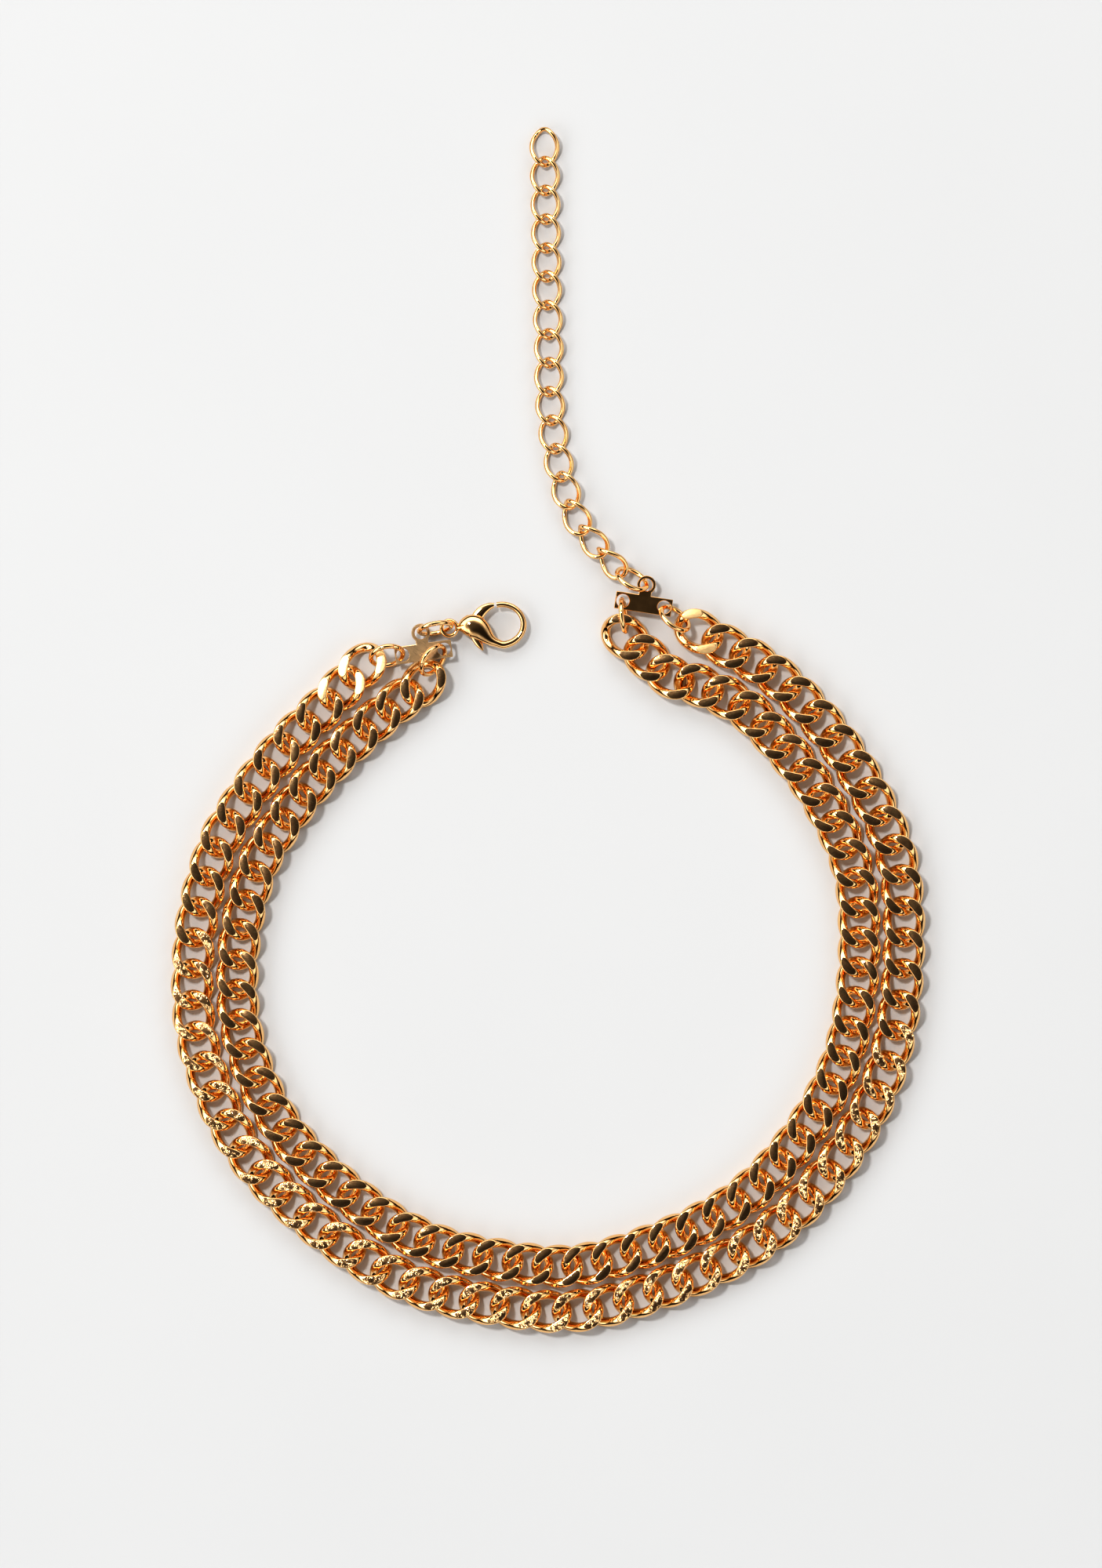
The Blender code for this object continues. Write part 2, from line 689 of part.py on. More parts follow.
def build_necklace():
    root = link_to_scene("necklace_frame", None)
    right, left = plate_frame(RIGHT_PLATE), plate_frame(LEFT_PLATE)
    right_holes = [right @ Vector((x, y, 0)) for x, y, _ in plate_holes()]
    left_holes = [left @ Vector((x, y, 0)) for x, y, _ in plate_holes()]

    right_outer = ring_frame(right_holes[1], RIGHT_OUTER_STAND)
    right_inner = ring_frame(right_holes[0], RIGHT_INNER_STAND)
    left_outer = ring_frame(left_holes[0], LEFT_OUTER_STAND)
    left_inner = ring_frame(left_holes[1], LEFT_INNER_STAND)

    first = hung_from(right_outer, RIGHT_OUTER_HANG)
    last = hung_from(left_outer, LEFT_OUTER_HANG)
    outer = Strand(outer_lay(first, last), OUTER_PLAY, RIGHT_OUTER_HANG[2], LEFT_OUTER_HANG[2])
    first = hung_from(right_inner, RIGHT_INNER_HANG)
    last = hung_from(left_inner, LEFT_INNER_HANG)
    inner = Strand(inner_lay(first, last), INNER_PLAY, RIGHT_INNER_HANG[2], LEFT_INNER_HANG[2])

    bar = plate("right_bar", right, right, root)
    along = right.to_3x3().col[0]
    outer_ring = jump_ring("right_outer_ring", right_outer, hinge(right_holes[1], along), bar)
    inner_ring = jump_ring("right_inner_ring", right_inner, hinge(right_holes[0], along), bar)

    outer_breaks = [round(outer.count * k / SECTIONS) - 1 for k in range(1, SECTIONS)]
    inner_bearings = [bearing_of(point) for point in inner.crossings]
    inner_breaks = []
    for b in outer_breaks:
        target = bearing_of(outer.crossings[b])
        inner_breaks.append(int(np.argmin([abs(t - target) for t in inner_bearings])))

    outer_points = [right_outer.translation] + [outer.crossings[b] for b in outer_breaks]
    inner_points = [right_inner.translation] + [inner.crossings[b] for b in inner_breaks]
    outer_points[0].z = inner_points[0].z = outer_points[1].z
    outer_parent, inner_parent = outer_ring, inner_ring
    outer_sections = outer.sections(outer_breaks)
    inner_sections = inner.sections(inner_breaks)
    for k in range(SECTIONS):
        across = (outer_points[k] - inner_points[k]) * (-1) ** k
        outer_parent = section(f"outer_links_{k + 1:02d}", outer, outer_sections[k],
                               hinge(outer_points[k], across), outer_parent)
        inner_parent = section(f"inner_links_{k + 1:02d}", inner, inner_sections[k],
                               hinge(inner_points[k], across), inner_parent)

    near, far = left_outer.translation.copy(), left_inner.translation.copy()
    near.z = far.z = LINK_THICKNESS / 2
    last_outer = jump_ring("left_outer_ring", left_outer, hinge(near, near - far), outer_parent)
    jump_ring("left_inner_ring", left_inner, hinge(far, near - far), inner_parent)
    left_along = left.to_3x3().col[0]
    left_bar = plate("left_bar", left, hinge(left_holes[0], left_along), last_outer)

    build_extender(right_holes[2], right, bar)
    build_clasp(left_holes[2], left, left_bar)
    rest_on_ground(root)


def build_extender(eye, plate_at, bar):
    """The connector ring and the row of small links that the clasp hooks into."""
    connector = ring_frame(eye, EXT_STAND)
    across = plate_at.to_3x3().col[0]
    parent = jump_ring("ext_ring", connector, hinge(eye, across), bar)
    pitch = EXT_LENGTH - 2 * EXT_WIRE - EXT_PLAY
    before = through_ring(connector, extender_height(extender_roll(0)))
    path = smooth_path([before] + [eye + Vector(point).to_3d() for point in EXT_LAY])
    start = EXT_LENGTH / 2 - EXT_WIRE - RING_WIRE / 2 - EXT_PLAY
    frames = walk(path, start, pitch, EXT_LINKS)
    for k, frame in enumerate(frames):
        point = (frame.translation + before) / 2 if k else before
        point.z = frame.translation.z
        across = frame.to_3x3().col[1] * (-1) ** (k // 2)
        joint = hinge(point, across) if k % 2 == 0 else upright(point)
        parent = extender_link(f"ext_link_{k + 1:02d}", frame, extender_roll(k), joint, parent)
        before = frame.translation


def upright(point):
    """A joint frame whose X points up, for a link that swings level."""
    frame = Matrix(((0, 0, 1), (0, 1, 0), (-1, 0, 0))).transposed().to_4x4()
    frame.translation = point
    return frame


def walk(path, start, pitch, count):
    """Link frames at a fixed pitch along a path, the first a little way in."""
    lengths = np.cumsum([0.0] + [(q - p).length for p, q in zip(path, path[1:])])
    frames = []
    for k in range(count):
        i = int(np.searchsorted(lengths, start + pitch * k))
        i = min(max(i, 1), len(path) - 2)
        along = path[i + 1] - path[i - 1]
        beyond = max(0.0, start + pitch * k - lengths[-1])
        point = path[i] + along.normalized() * beyond
        frames.append(frame_at(point, along, extender_height(extender_roll(k))))
    return frames


def build_clasp(eye, plate_at, left_bar):
    """The clasp's ring, body, lever, pin and spring."""
    ring = ring_frame(eye, CLASP_STAND)
    along = plate_at.to_3x3().col[1]
    clasp_ring = jump_ring("clasp_ring", ring, hinge(eye, along), left_bar)
    heading = heading_of(CLASP_HEADING)
    tail = through_ring(ring, CLASP_HEIGHT)
    body = frame_at(tail - heading * TAIL_CENTRE, heading, CLASP_HEIGHT)
    joint = hinge(tail, UP.cross(heading))
    made = clasp_body(body, joint, clasp_ring)
    pivot = body @ Vector((*PIVOT, 0))
    clasp_lever(body, upright(pivot), made)
    clasp_pin(body, made)
    clasp_spring(body, made)


def rest_on_ground(root):
    """Move everything so that the origin is under the middle of the whole box."""
    bpy.context.view_layer.update()
    graph = bpy.context.evaluated_depsgraph_get()
    corners = []
    for made in bpy.context.scene.objects:
        if made.type == 'MESH' and not made.hide_render:
            shape = made.evaluated_get(graph)
            corners += [made.matrix_world @ v.co for v in shape.data.vertices]
    low = Vector([min(c[axis] for c in corners) for axis in range(3)])
    high = Vector([max(c[axis] for c in corners) for axis in range(3)])
    root.location = (-(low.x + high.x) / 2, -(low.y + high.y) / 2, -low.z)
    bpy.context.view_layer.update()


for old in list(bpy.data.objects):
    bpy.data.objects.remove(old)
build_necklace()
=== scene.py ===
"""A double-strand curb-chain choker with its extender and lobster clasp, laid out on a pale table.

Every link, ring and clasp piece is its own closed mesh, and rides on the moving body that holds it.
"""
import json
import math

import bmesh
import bpy
import numpy as np
from bpy.props import FloatProperty, FloatVectorProperty, PointerProperty
from mathutils import Matrix, Vector


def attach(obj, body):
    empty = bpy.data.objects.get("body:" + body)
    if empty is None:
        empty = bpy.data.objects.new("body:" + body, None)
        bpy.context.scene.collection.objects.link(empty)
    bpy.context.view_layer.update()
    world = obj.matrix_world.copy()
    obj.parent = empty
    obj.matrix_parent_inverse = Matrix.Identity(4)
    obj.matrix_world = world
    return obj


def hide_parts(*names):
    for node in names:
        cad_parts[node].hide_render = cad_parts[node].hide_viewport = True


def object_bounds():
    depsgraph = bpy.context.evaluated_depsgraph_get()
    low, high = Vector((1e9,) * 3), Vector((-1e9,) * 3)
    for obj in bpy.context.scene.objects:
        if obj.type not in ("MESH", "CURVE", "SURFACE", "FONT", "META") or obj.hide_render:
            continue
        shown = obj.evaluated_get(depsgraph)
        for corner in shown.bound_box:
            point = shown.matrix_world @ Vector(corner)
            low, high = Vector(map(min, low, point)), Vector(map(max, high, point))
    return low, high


bl_info = {
    "name": "Curb Chain Choker",
    "version": (1, 0, 0),
    "blender": (4, 5, 0),
    "location": "View3D > Sidebar > Choker",
    "description": "Builds a double-strand curb-chain choker and the table it lies on",
    "category": "Object",
}

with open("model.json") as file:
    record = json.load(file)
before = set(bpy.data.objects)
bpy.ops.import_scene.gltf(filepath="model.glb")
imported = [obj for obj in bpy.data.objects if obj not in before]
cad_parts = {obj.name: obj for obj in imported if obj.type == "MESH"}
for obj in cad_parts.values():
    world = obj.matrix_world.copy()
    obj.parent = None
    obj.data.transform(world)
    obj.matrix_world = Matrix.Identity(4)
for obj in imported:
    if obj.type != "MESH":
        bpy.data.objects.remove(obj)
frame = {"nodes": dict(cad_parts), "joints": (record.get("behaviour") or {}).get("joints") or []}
CAD_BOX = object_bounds()

# Neck ring: angles are clockwise from +Y, seen from above.
NECK_RADIUS = 0.0570
SECTIONS = 15
OUTER_LAY = (
    (40, 0.0013), (60, 0.0009), (80, 0.0005), (110, -0.0003), (140, -0.0007), (170, -0.0008),
    (190, -0.0009), (210, -0.0003), (235, 0.0008), (255, 0.0012), (272, 0.0004),
    (287, -0.0003), (297, -0.0013), (308, -0.0021), (318, -0.0023),
)
INNER_SAG = ((22.5, 0.0015), (29, 0.0008), (40, 0.0), (318, 0.0), (327, -0.0005))

# Curb link
LINK_LENGTH = 0.0085
LINK_WIDTH = 0.0070
LINK_THICKNESS = 0.0031
LINK_WIRE = 0.0016
OUTER_PLAY = 0.00025
INNER_PLAY = 0.00050
STRAND_GAP = 0.00025

# End plates
PLATE_LENGTH = 0.0092
PLATE_WIDTH = 0.0028
PLATE_THICKNESS = 0.0006
PLATE_HEIGHT = 0.0020
HOLE_SPACING = 0.0067
HOLE_RADIUS = 0.00100
EYE_RADIUS = 0.00150
EYE_HOLE = 0.00095
EYE_NECK = 0.0031
# The eye's round outline starts at this bearing and runs on for this many degrees
EYE_FROM = -48
EYE_RUN = 276
EYE_STEPS = 30
RIGHT_PLATE = (14.6, 0.0022, -9.0)
LEFT_PLATE = (-22.4, -0.0034, 8.0)

# Jump rings: the way from the hole to the ring's far side and its lean, in degrees
RING_RADIUS = 0.00260
RING_WIRE = 0.00080
RIGHT_OUTER_STAND = (-38, 30)
RIGHT_INNER_STAND = (-84, 8)
LEFT_OUTER_STAND = (192, 34)
LEFT_INNER_STAND = (234, 30)
EXT_STAND = (150, -30)
CLASP_STAND = (11, -16)

# How each strand's end link hangs: way in degrees, slack in metres, its own turn in degrees
RIGHT_OUTER_HANG = (-28, 0.00055, -29)
RIGHT_INNER_HANG = (-86, 0.00145, -38)
LEFT_OUTER_HANG = (202, 0.00065, 43)
LEFT_INNER_HANG = (247, 0.00095, 56)

# Where each jump ring is cut, in degrees round it
RING_SEAMS = {
    "right_outer_ring": 200, "right_inner_ring": 150, "left_outer_ring": 120,
    "left_inner_ring": 60, "ext_ring": 250, "clasp_ring": 100,
}

# Extender
EXT_LINKS = 16
EXT_LENGTH = 0.0066
EXT_WIDTH = 0.0049
EXT_WIRE = 0.00075
EXT_PLAY = 0.00047
EXT_TWIST = 84.0
EXT_ROLL = (-46, -34, -24, -15, -7)
EXT_LAY = (
    (-0.0062, 0.0042), (-0.0113, 0.0108), (-0.0141, 0.0195),
    (-0.0155, 0.0290), (-0.0157, 0.0380), (-0.0160, 0.0480), (-0.0165, 0.0760),
)

# The outer links whose flats were ground coarsest, and the last outer links' flats, which lean
# towards the key light: how much each leans to +X and +Y
SPARKLING = range(16, 50)
GLINTS = ((-0.14, 0.12), (-0.14, 0.12))

# The view: how much taller the picture is than the necklace, where its middle lies up the
# necklace's length, and how far to one side
VIEW_TALL = 1.2983
VIEW_MIDDLE = 0.4553
VIEW_ASIDE = 0.00045

# The key light: the way to it, its distance and how wide it is
KEY_WAY = (-0.42, 0.36, 1.0)
KEY_DISTANCE = 2.2
KEY_SIZE = 0.32

# Lobster clasp: origin in the middle of the hook, +X away from the tail
CLASP_HEADING = 4
CLASP_HEIGHT = 0.0016
HOOK_WIRE = 0.00125
HOOK_TO = 99.0
BULB_TALL = 0.00130
TAIL_RADIUS = 0.00125
TAIL_WIRE = 0.00065
TAIL_CENTRE = -0.0084
PIVOT = (-0.0046, -0.0006)
PIN_RADIUS = 0.00035
PIN_TALL = 0.88
LEVER_WIRE = 0.00085
POCKET_DEEP = 0.00039
HOLE_EASE = 0.00006
# The cast body's stations from the tail to the hook, then the gate's from its tip to its nub:
# x, y, half-width and half-height in the clasp's own frame
BULB_ROWS = (
    (-0.00715, 0.00002, 0.00034, 0.00034), (-0.00682, 0.00004, 0.00062, 0.00052),
    (-0.00635, 0.00010, 0.00112, 0.00082), (-0.00575, 0.00014, 0.00158, 0.00108),
    (-0.00500, 0.00012, 0.00194, 0.00125), (-0.00420, -0.00012, 0.00203, 0.00130),
    (-0.00350, -0.00066, 0.00182, 0.00126), (-0.00285, -0.00138, 0.00148, 0.00115),
    (-0.00230, -0.00198, 0.00116, 0.00102), (-0.00170, -0.00248, 0.00088, 0.00090),
    (-0.00095, -0.00288, 0.00070, 0.00075),
)
GATE_ROWS = (
    (-0.00098, 0.00319, 0.00034, 0.00030), (-0.00112, 0.00318, 0.00042, 0.00032),
    (-0.00190, 0.00300, 0.00062, 0.00034), (-0.00300, 0.00236, 0.00084, 0.00034),
    (-0.00385, 0.00138, 0.00092, 0.00034), (-0.00440, 0.00030, 0.00080, 0.00034),
    (-0.00460, -0.00060, 0.00072, 0.00034), (-0.00432, -0.00190, 0.00062, 0.00034),
    (-0.00370, -0.00310, 0.00050, 0.00032), (-0.00325, -0.00395, 0.00012, 0.00020),
)
# The pocket round the gate's sweep, from the pivot
POCKET_OUTLINE = (
    (-0.00090, -0.00030), (-0.00080, 0.00100), (-0.00055, 0.00360), (0.00360, 0.00360),
    (0.00390, 0.00110), (0.00260, 0.00035), (0.00095, -0.00045), (0.00215, -0.00200),
    (0.00250, -0.00380), (-0.00100, -0.00380),
)
HOOK_LONG = 0.00355
HOOK_TALL = 0.00325
HOOK_STEPS = 12

UP = Vector((0, 0, 1))


# Where everything lies ---------------------------------------------------------------------------

def on_ring(bearing, radius):
    """The point at a clockwise bearing in degrees and a radius from the neck's middle."""
    turn = math.radians(bearing)
    return Vector((radius * math.sin(turn), radius * math.cos(turn), 0))


def heading_of(degrees):
    turn = math.radians(degrees)
    return Vector((math.cos(turn), math.sin(turn), 0))


def smooth_path(points, step=0.0001):
    """A fine row of points along one smooth curve through the given ones."""
    rows = [Vector(p).to_3d() for p in points]
    rows = [2 * rows[0] - rows[1]] + rows + [2 * rows[-1] - rows[-2]]
    fine = []
    for before, start, end, after in zip(rows, rows[1:], rows[2:], rows[3:]):
        count = max(2, int((end - start).length / step))
        for k in range(count):
            u = k / count
            b = (end - before) * u
            c = (before * 2 - start * 5 + end * 4 - after) * u ** 2
            d = (start * 3 - before - end * 3 + after) * u ** 3
            fine.append((start * 2 + b + c + d) / 2)
    fine.append(rows[-2])
    return fine


def distances(path):
    return np.cumsum([0.0] + [(q - p).length for p, q in zip(path, path[1:])])


def frame_at(point, along, height):
    """A level frame at a point, X along a heading."""
    along = Vector((along.x, along.y, 0)).normalized()
    made = Matrix((along, UP.cross(along), UP)).transposed().to_4x4()
    made.translation = Vector((point.x, point.y, height))
    return made


def spaced_frames(path, count, height):
    """Link frames at even steps along a path: X along it, Y to its left, Z up."""
    lengths = distances(path)
    frames = []
    for s in np.linspace(0, lengths[-1], count):
        i = max(1, min(int(np.searchsorted(lengths, s)), len(path) - 2))
        frames.append(frame_at(path[i], path[i + 1] - path[i - 1], height))
    return frames


def plate_frame(place):
    bearing, outwards, turn = place
    return frame_at(on_ring(bearing, NECK_RADIUS + outwards), heading_of(turn), PLATE_HEIGHT)


def plate_holes(plate):
    """The left hole, the right hole and the eye of a plate."""
    half = HOLE_SPACING / 2
    return [plate @ Vector(p) for p in ((-half, 0, 0), (half, 0, 0), (0, EYE_NECK, 0))]


def ring_frame(hole, stand):
    """A jump ring that stands on the table through a hole: Z is its own axis."""
    along = heading_of(stand[0])
    tip = math.radians(stand[1])
    rise = along.cross(UP) * math.sin(tip) + UP * math.cos(tip)
    height = RING_RADIUS * math.cos(tip) + RING_WIRE / 2
    drop = math.asin((height - hole.z) / (RING_RADIUS * math.cos(tip)))
    made = Matrix((along, rise, along.cross(rise))).transposed().to_4x4()
    made.translation = (
        hole + along * RING_RADIUS * math.cos(drop) + rise * RING_RADIUS * math.sin(drop))
    return made


def through_ring(ring, height):
    """Where the far side of a ring passes a height."""
    rise = ring.to_3x3().col[1]
    climb = (height - ring.translation.z) / rise.z
    along = ring.to_3x3().col[0] * math.sqrt(RING_RADIUS ** 2 - climb ** 2)
    return ring.translation + along + rise * climb


def hung_from(ring, hang):
    """The middle of the strand's end link, hung from a jump ring."""
    taut = RING_RADIUS - RING_WIRE / 2 + LINK_LENGTH / 2 - LINK_WIRE
    point = ring.translation + heading_of(hang[0]) * (taut - hang[1])
    return Vector((point.x, point.y, 0))


def outer_lay(first, last):
    return [first] + [on_ring(b, NECK_RADIUS + out) for b, out in OUTER_LAY] + [last]


def inner_lay(first, last):
    spacing = LINK_WIDTH + STRAND_GAP
    bearings, outs = zip(*OUTER_LAY)
    sag_at, sags = zip(*INNER_SAG)
    lay = []
    for bearing in sorted(set(bearings + sag_at)):
        out = float(np.interp(bearing, bearings, outs))
        sag = float(np.interp(bearing, sag_at, sags))
        lay.append(on_ring(bearing, NECK_RADIUS + out - spacing - sag))
    return [first] + lay + [last]


def strand_links(lay, play, first_turn, last_turn):
    """The link frames of one curb chain, with the end links at their own turns."""
    pitch = LINK_LENGTH - 2 * LINK_WIRE - play
    path = smooth_path(lay)
    count = max(SECTIONS, round(distances(path)[-1] / pitch) + 1)
    links = spaced_frames(path, count, LINK_THICKNESS / 2)
    for i, turn in ((0, first_turn), (-1, last_turn)):
        middle = links[i].translation
        links[i] = frame_at(middle, heading_of(turn), middle.z)
    return links


def crossings(links):
    return [(p.translation + q.translation) / 2 for p, q in zip(links, links[1:])]


def bearing_of(point):
    return math.degrees(math.atan2(point.x, point.y)) % 360


def bodies_of(links, breaks, strand):
    """The name of the section body that each link of a strand rides on."""
    names, section = [], 1
    for i in range(len(links)):
        names.append(f"{strand}_links_{section:02d}")
        if i in breaks:
            section += 1
    return names


def extender_point(turn, roll):
    """A point of an extender link's centreline, twisted about its length and rolled."""
    lean = math.radians(roll) - math.radians(EXT_TWIST / 2) * math.cos(turn)
    across = (EXT_WIDTH - EXT_WIRE) / 2 * math.sin(turn)
    return Vector((
        (EXT_LENGTH - EXT_WIRE) / 2 * math.cos(turn),
        across * math.cos(lean), across * math.sin(lean)))


def extender_roll(k):
    return EXT_ROLL[k] if k < len(EXT_ROLL) else 0


def extender_height(roll):
    """The height of a rolled link's middle, so that it rests on the table."""
    turns = [2 * math.pi * k / 12 for k in range(12)]
    return max(abs(extender_point(t, roll).z) for t in turns) + EXT_WIRE / 2


def extender_frames(connector, eye):
    """Link frames at a fixed pitch along the extender's lie."""
    pitch = EXT_LENGTH - 2 * EXT_WIRE - EXT_PLAY
    before = through_ring(connector, extender_height(extender_roll(0)))
    path = smooth_path([before] + [eye + Vector(point).to_3d() for point in EXT_LAY])
    start = EXT_LENGTH / 2 - EXT_WIRE - RING_WIRE / 2 - EXT_PLAY
    lengths = distances(path)
    frames = []
    for k in range(EXT_LINKS):
        reach = start + pitch * k
        i = min(max(int(np.searchsorted(lengths, reach)), 1), len(path) - 2)
        along = path[i + 1] - path[i - 1]
        point = path[i] + along.normalized() * max(0.0, reach - lengths[-1])
        frames.append(frame_at(point, along, extender_height(extender_roll(k))))
    return frames


class Layout:
    """Every piece's place, moved into the frame that the moving bodies use."""

    def __init__(self):
        right, left = plate_frame(RIGHT_PLATE), plate_frame(LEFT_PLATE)
        right_holes, left_holes = plate_holes(right), plate_holes(left)
        self.rings = {
            "right_outer_ring": ring_frame(right_holes[1], RIGHT_OUTER_STAND),
            "right_inner_ring": ring_frame(right_holes[0], RIGHT_INNER_STAND),
            "left_outer_ring": ring_frame(left_holes[0], LEFT_OUTER_STAND),
            "left_inner_ring": ring_frame(left_holes[1], LEFT_INNER_STAND),
            "ext_ring": ring_frame(right_holes[2], EXT_STAND),
            "clasp_ring": ring_frame(left_holes[2], CLASP_STAND),
        }
        self.plates = {"right_bar": right, "left_bar": left}
        first = hung_from(self.rings["right_outer_ring"], RIGHT_OUTER_HANG)
        last = hung_from(self.rings["left_outer_ring"], LEFT_OUTER_HANG)
        self.outer = strand_links(
            outer_lay(first, last), OUTER_PLAY, RIGHT_OUTER_HANG[2], LEFT_OUTER_HANG[2])
        first = hung_from(self.rings["right_inner_ring"], RIGHT_INNER_HANG)
        last = hung_from(self.rings["left_inner_ring"], LEFT_INNER_HANG)
        self.inner = strand_links(
            inner_lay(first, last), INNER_PLAY, RIGHT_INNER_HANG[2], LEFT_INNER_HANG[2])
        outer_at = [bearing_of(p) for p in crossings(self.outer)]
        inner_at = [bearing_of(p) for p in crossings(self.inner)]
        breaks = [round(len(self.outer) * k / SECTIONS) - 1 for k in range(1, SECTIONS)]
        inner_breaks = [
            int(np.argmin([abs(at - outer_at[b]) for at in inner_at])) for b in breaks]
        self.outer_bodies = bodies_of(self.outer, breaks, "outer")
        self.inner_bodies = bodies_of(self.inner, inner_breaks, "inner")
        self.extender = extender_frames(self.rings["ext_ring"], right_holes[2])
        heading = heading_of(CLASP_HEADING)
        tail = through_ring(self.rings["clasp_ring"], CLASP_HEIGHT)
        self.clasp = frame_at(tail - heading * TAIL_CENTRE, heading, CLASP_HEIGHT)
        self.move(right_holes[1])

    def move(self, known):
        """Shift everything so that a known hole meets the joint that turns in it."""
        joint = next(j for j in frame["joints"] if j["child"] == "right_outer_ring")
        shift = Vector(joint["pos_m"]) - known
        shift.z = 0
        places = [*self.rings.values(), *self.plates.values(), *self.outer, *self.inner]
        for place in [*places, *self.extender, self.clasp]:
            place.translation += shift


# Sizes and colours that a user would change --------------------------------------------------------

class ChokerSizes(bpy.types.PropertyGroup):
    link_wire: FloatProperty(
        name="Link Wire", description="Thickness of the curb links' wire", default=LINK_WIRE,
        min=0.0002, unit='LENGTH', precision=5)
    link_lift: FloatProperty(
        name="Link Twist", description="How far a link's wire rises and dips", default=0.00122,
        unit='LENGTH', precision=5)
    facet_rim: FloatProperty(
        name="Facet Rim", description="Width of the rounded rim of each ground facet",
        default=0.00007, min=0, unit='LENGTH', precision=6)
    facet_tilt: FloatProperty(
        name="Facet Tilt", description="How unevenly the facets are ground",
        default=math.radians(2.2), subtype='ANGLE')
    ring_seam: FloatProperty(
        name="Ring Seam", description="Angle of the cut in each jump ring",
        default=math.radians(2.0), subtype='ANGLE')
    plate_edge: FloatProperty(
        name="Plate Edge", description="Rounding of the end plates' edges", default=0.00008,
        min=0, unit='LENGTH', precision=6)


class ChokerColours(bpy.types.PropertyGroup):
    gold: FloatVectorProperty(
        name="Gold", description="Polished plating", default=(1.0, 0.66, 0.33), min=0, max=1,
        subtype='COLOR')
    gold_deep: FloatVectorProperty(
        name="Deep Gold", description="Plating where it is thicker and redder",
        default=(0.98, 0.58, 0.25), min=0, max=1, subtype='COLOR')
    facet: FloatVectorProperty(
        name="Facets", description="Ground flats of the links", default=(0.95, 0.55, 0.27),
        min=0, max=1, subtype='COLOR')
    facet_pale: FloatVectorProperty(
        name="Pale Facets", description="Lighter patches in the ground flats",
        default=(0.92, 0.64, 0.32), min=0, max=1, subtype='COLOR')
    plate: FloatVectorProperty(
        name="Brushed Plate", description="The brushed end plate", default=(0.64, 0.43, 0.235),
        min=0, max=1, subtype='COLOR')
    steel: FloatVectorProperty(
        name="Steel", description="The clasp's spring", default=(0.62, 0.58, 0.52), min=0,
        max=1, subtype='COLOR')
    table: FloatVectorProperty(
        name="Table", description="The surface it lies on", default=(0.565, 0.565, 0.563), min=0,
        max=1, subtype='COLOR')


class ChokerStage(bpy.types.PropertyGroup):
    key: FloatProperty(
        name="Key Light", description="Strength of the hard light from the upper left",
        default=21.5, min=0, unit='POWER')
    fill: FloatProperty(
        name="Fill", description="Brightness of the ring of light", default=2.2, min=0)
    zenith: FloatProperty(
        name="Ceiling", description="Brightness of the room overhead", default=0.075, min=0)
    height: FloatProperty(
        name="Camera Height", description="Distance of the lens from the table", default=1.0,
        min=0.3, unit='LENGTH')


# Materials -----------------------------------------------------------------------------------------

def new_material(name):
    """A metal with its nodes, and a helper that adds a node and wires its inputs."""
    material = bpy.data.materials.new(name)
    material.use_nodes = True
    tree = material.node_tree
    shader = tree.nodes["Principled BSDF"]
    shader.inputs["Metallic"].default_value = 1

    def add(kind, settings=(), **inputs):
        node = tree.nodes.new(kind)
        for key, value in dict(settings).items():
            setattr(node, key, value)
        for key, value in inputs.items():
            socket = node.inputs[key.replace("_", " ")]
            if isinstance(value, bpy.types.NodeSocket):
                tree.links.new(value, socket)
            else:
                socket.default_value = value
        return node

    return material, shader, add, tree.links.new


def ramp(add, factor, stops):
    node = add("ShaderNodeValToRGB", Fac=factor)
    elements = node.color_ramp.elements
    while len(elements) < len(stops):
        elements.new(0.5)
    for element, (at, colour) in zip(elements, stops):
        element.position = at
        element.color = colour if len(colour) == 4 else (*colour, 1)
    return node.outputs["Color"]


def grey(value):
    return (value, value, value, 1)


def polished_gold(name, colour, deep, smooth=0.04, rough=0.10):
    """Bright plating with faint clouding, hairline scratches and soft waves from the casting."""
    material, shader, add, link = new_material(name)
    place = add("ShaderNodeTexCoord").outputs["Object"]
    cloud = add("ShaderNodeTexNoise", Vector=place, Scale=420, Detail=3).outputs["Fac"]
    tint = ramp(add, cloud, [(0.35, colour), (0.7, deep)])
    link(tint, shader.inputs["Base Color"])
    streak = add("ShaderNodeMapping", Vector=place, Scale=(1, 6, 3), Rotation=(0.3, 0.2, 0.7))
    hair = add("ShaderNodeTexNoise", Vector=streak.outputs["Vector"], Scale=2600, Detail=2)
    polish = ramp(add, hair.outputs["Fac"], [(0.3, grey(smooth)), (0.75, grey(rough))])
    link(polish, shader.inputs["Roughness"])
    wave = add("ShaderNodeTexNoise", Vector=place, Scale=900, Detail=1).outputs["Fac"]
    low = add("ShaderNodeBump", Height=wave, Strength=0.16, Distance=0.0001)
    fine = add("ShaderNodeBump", Height=hair.outputs["Fac"], Strength=0.05, Distance=0.00002,
               Normal=low.outputs["Normal"])
    link(fine.outputs["Normal"], shader.inputs["Normal"])
    return material


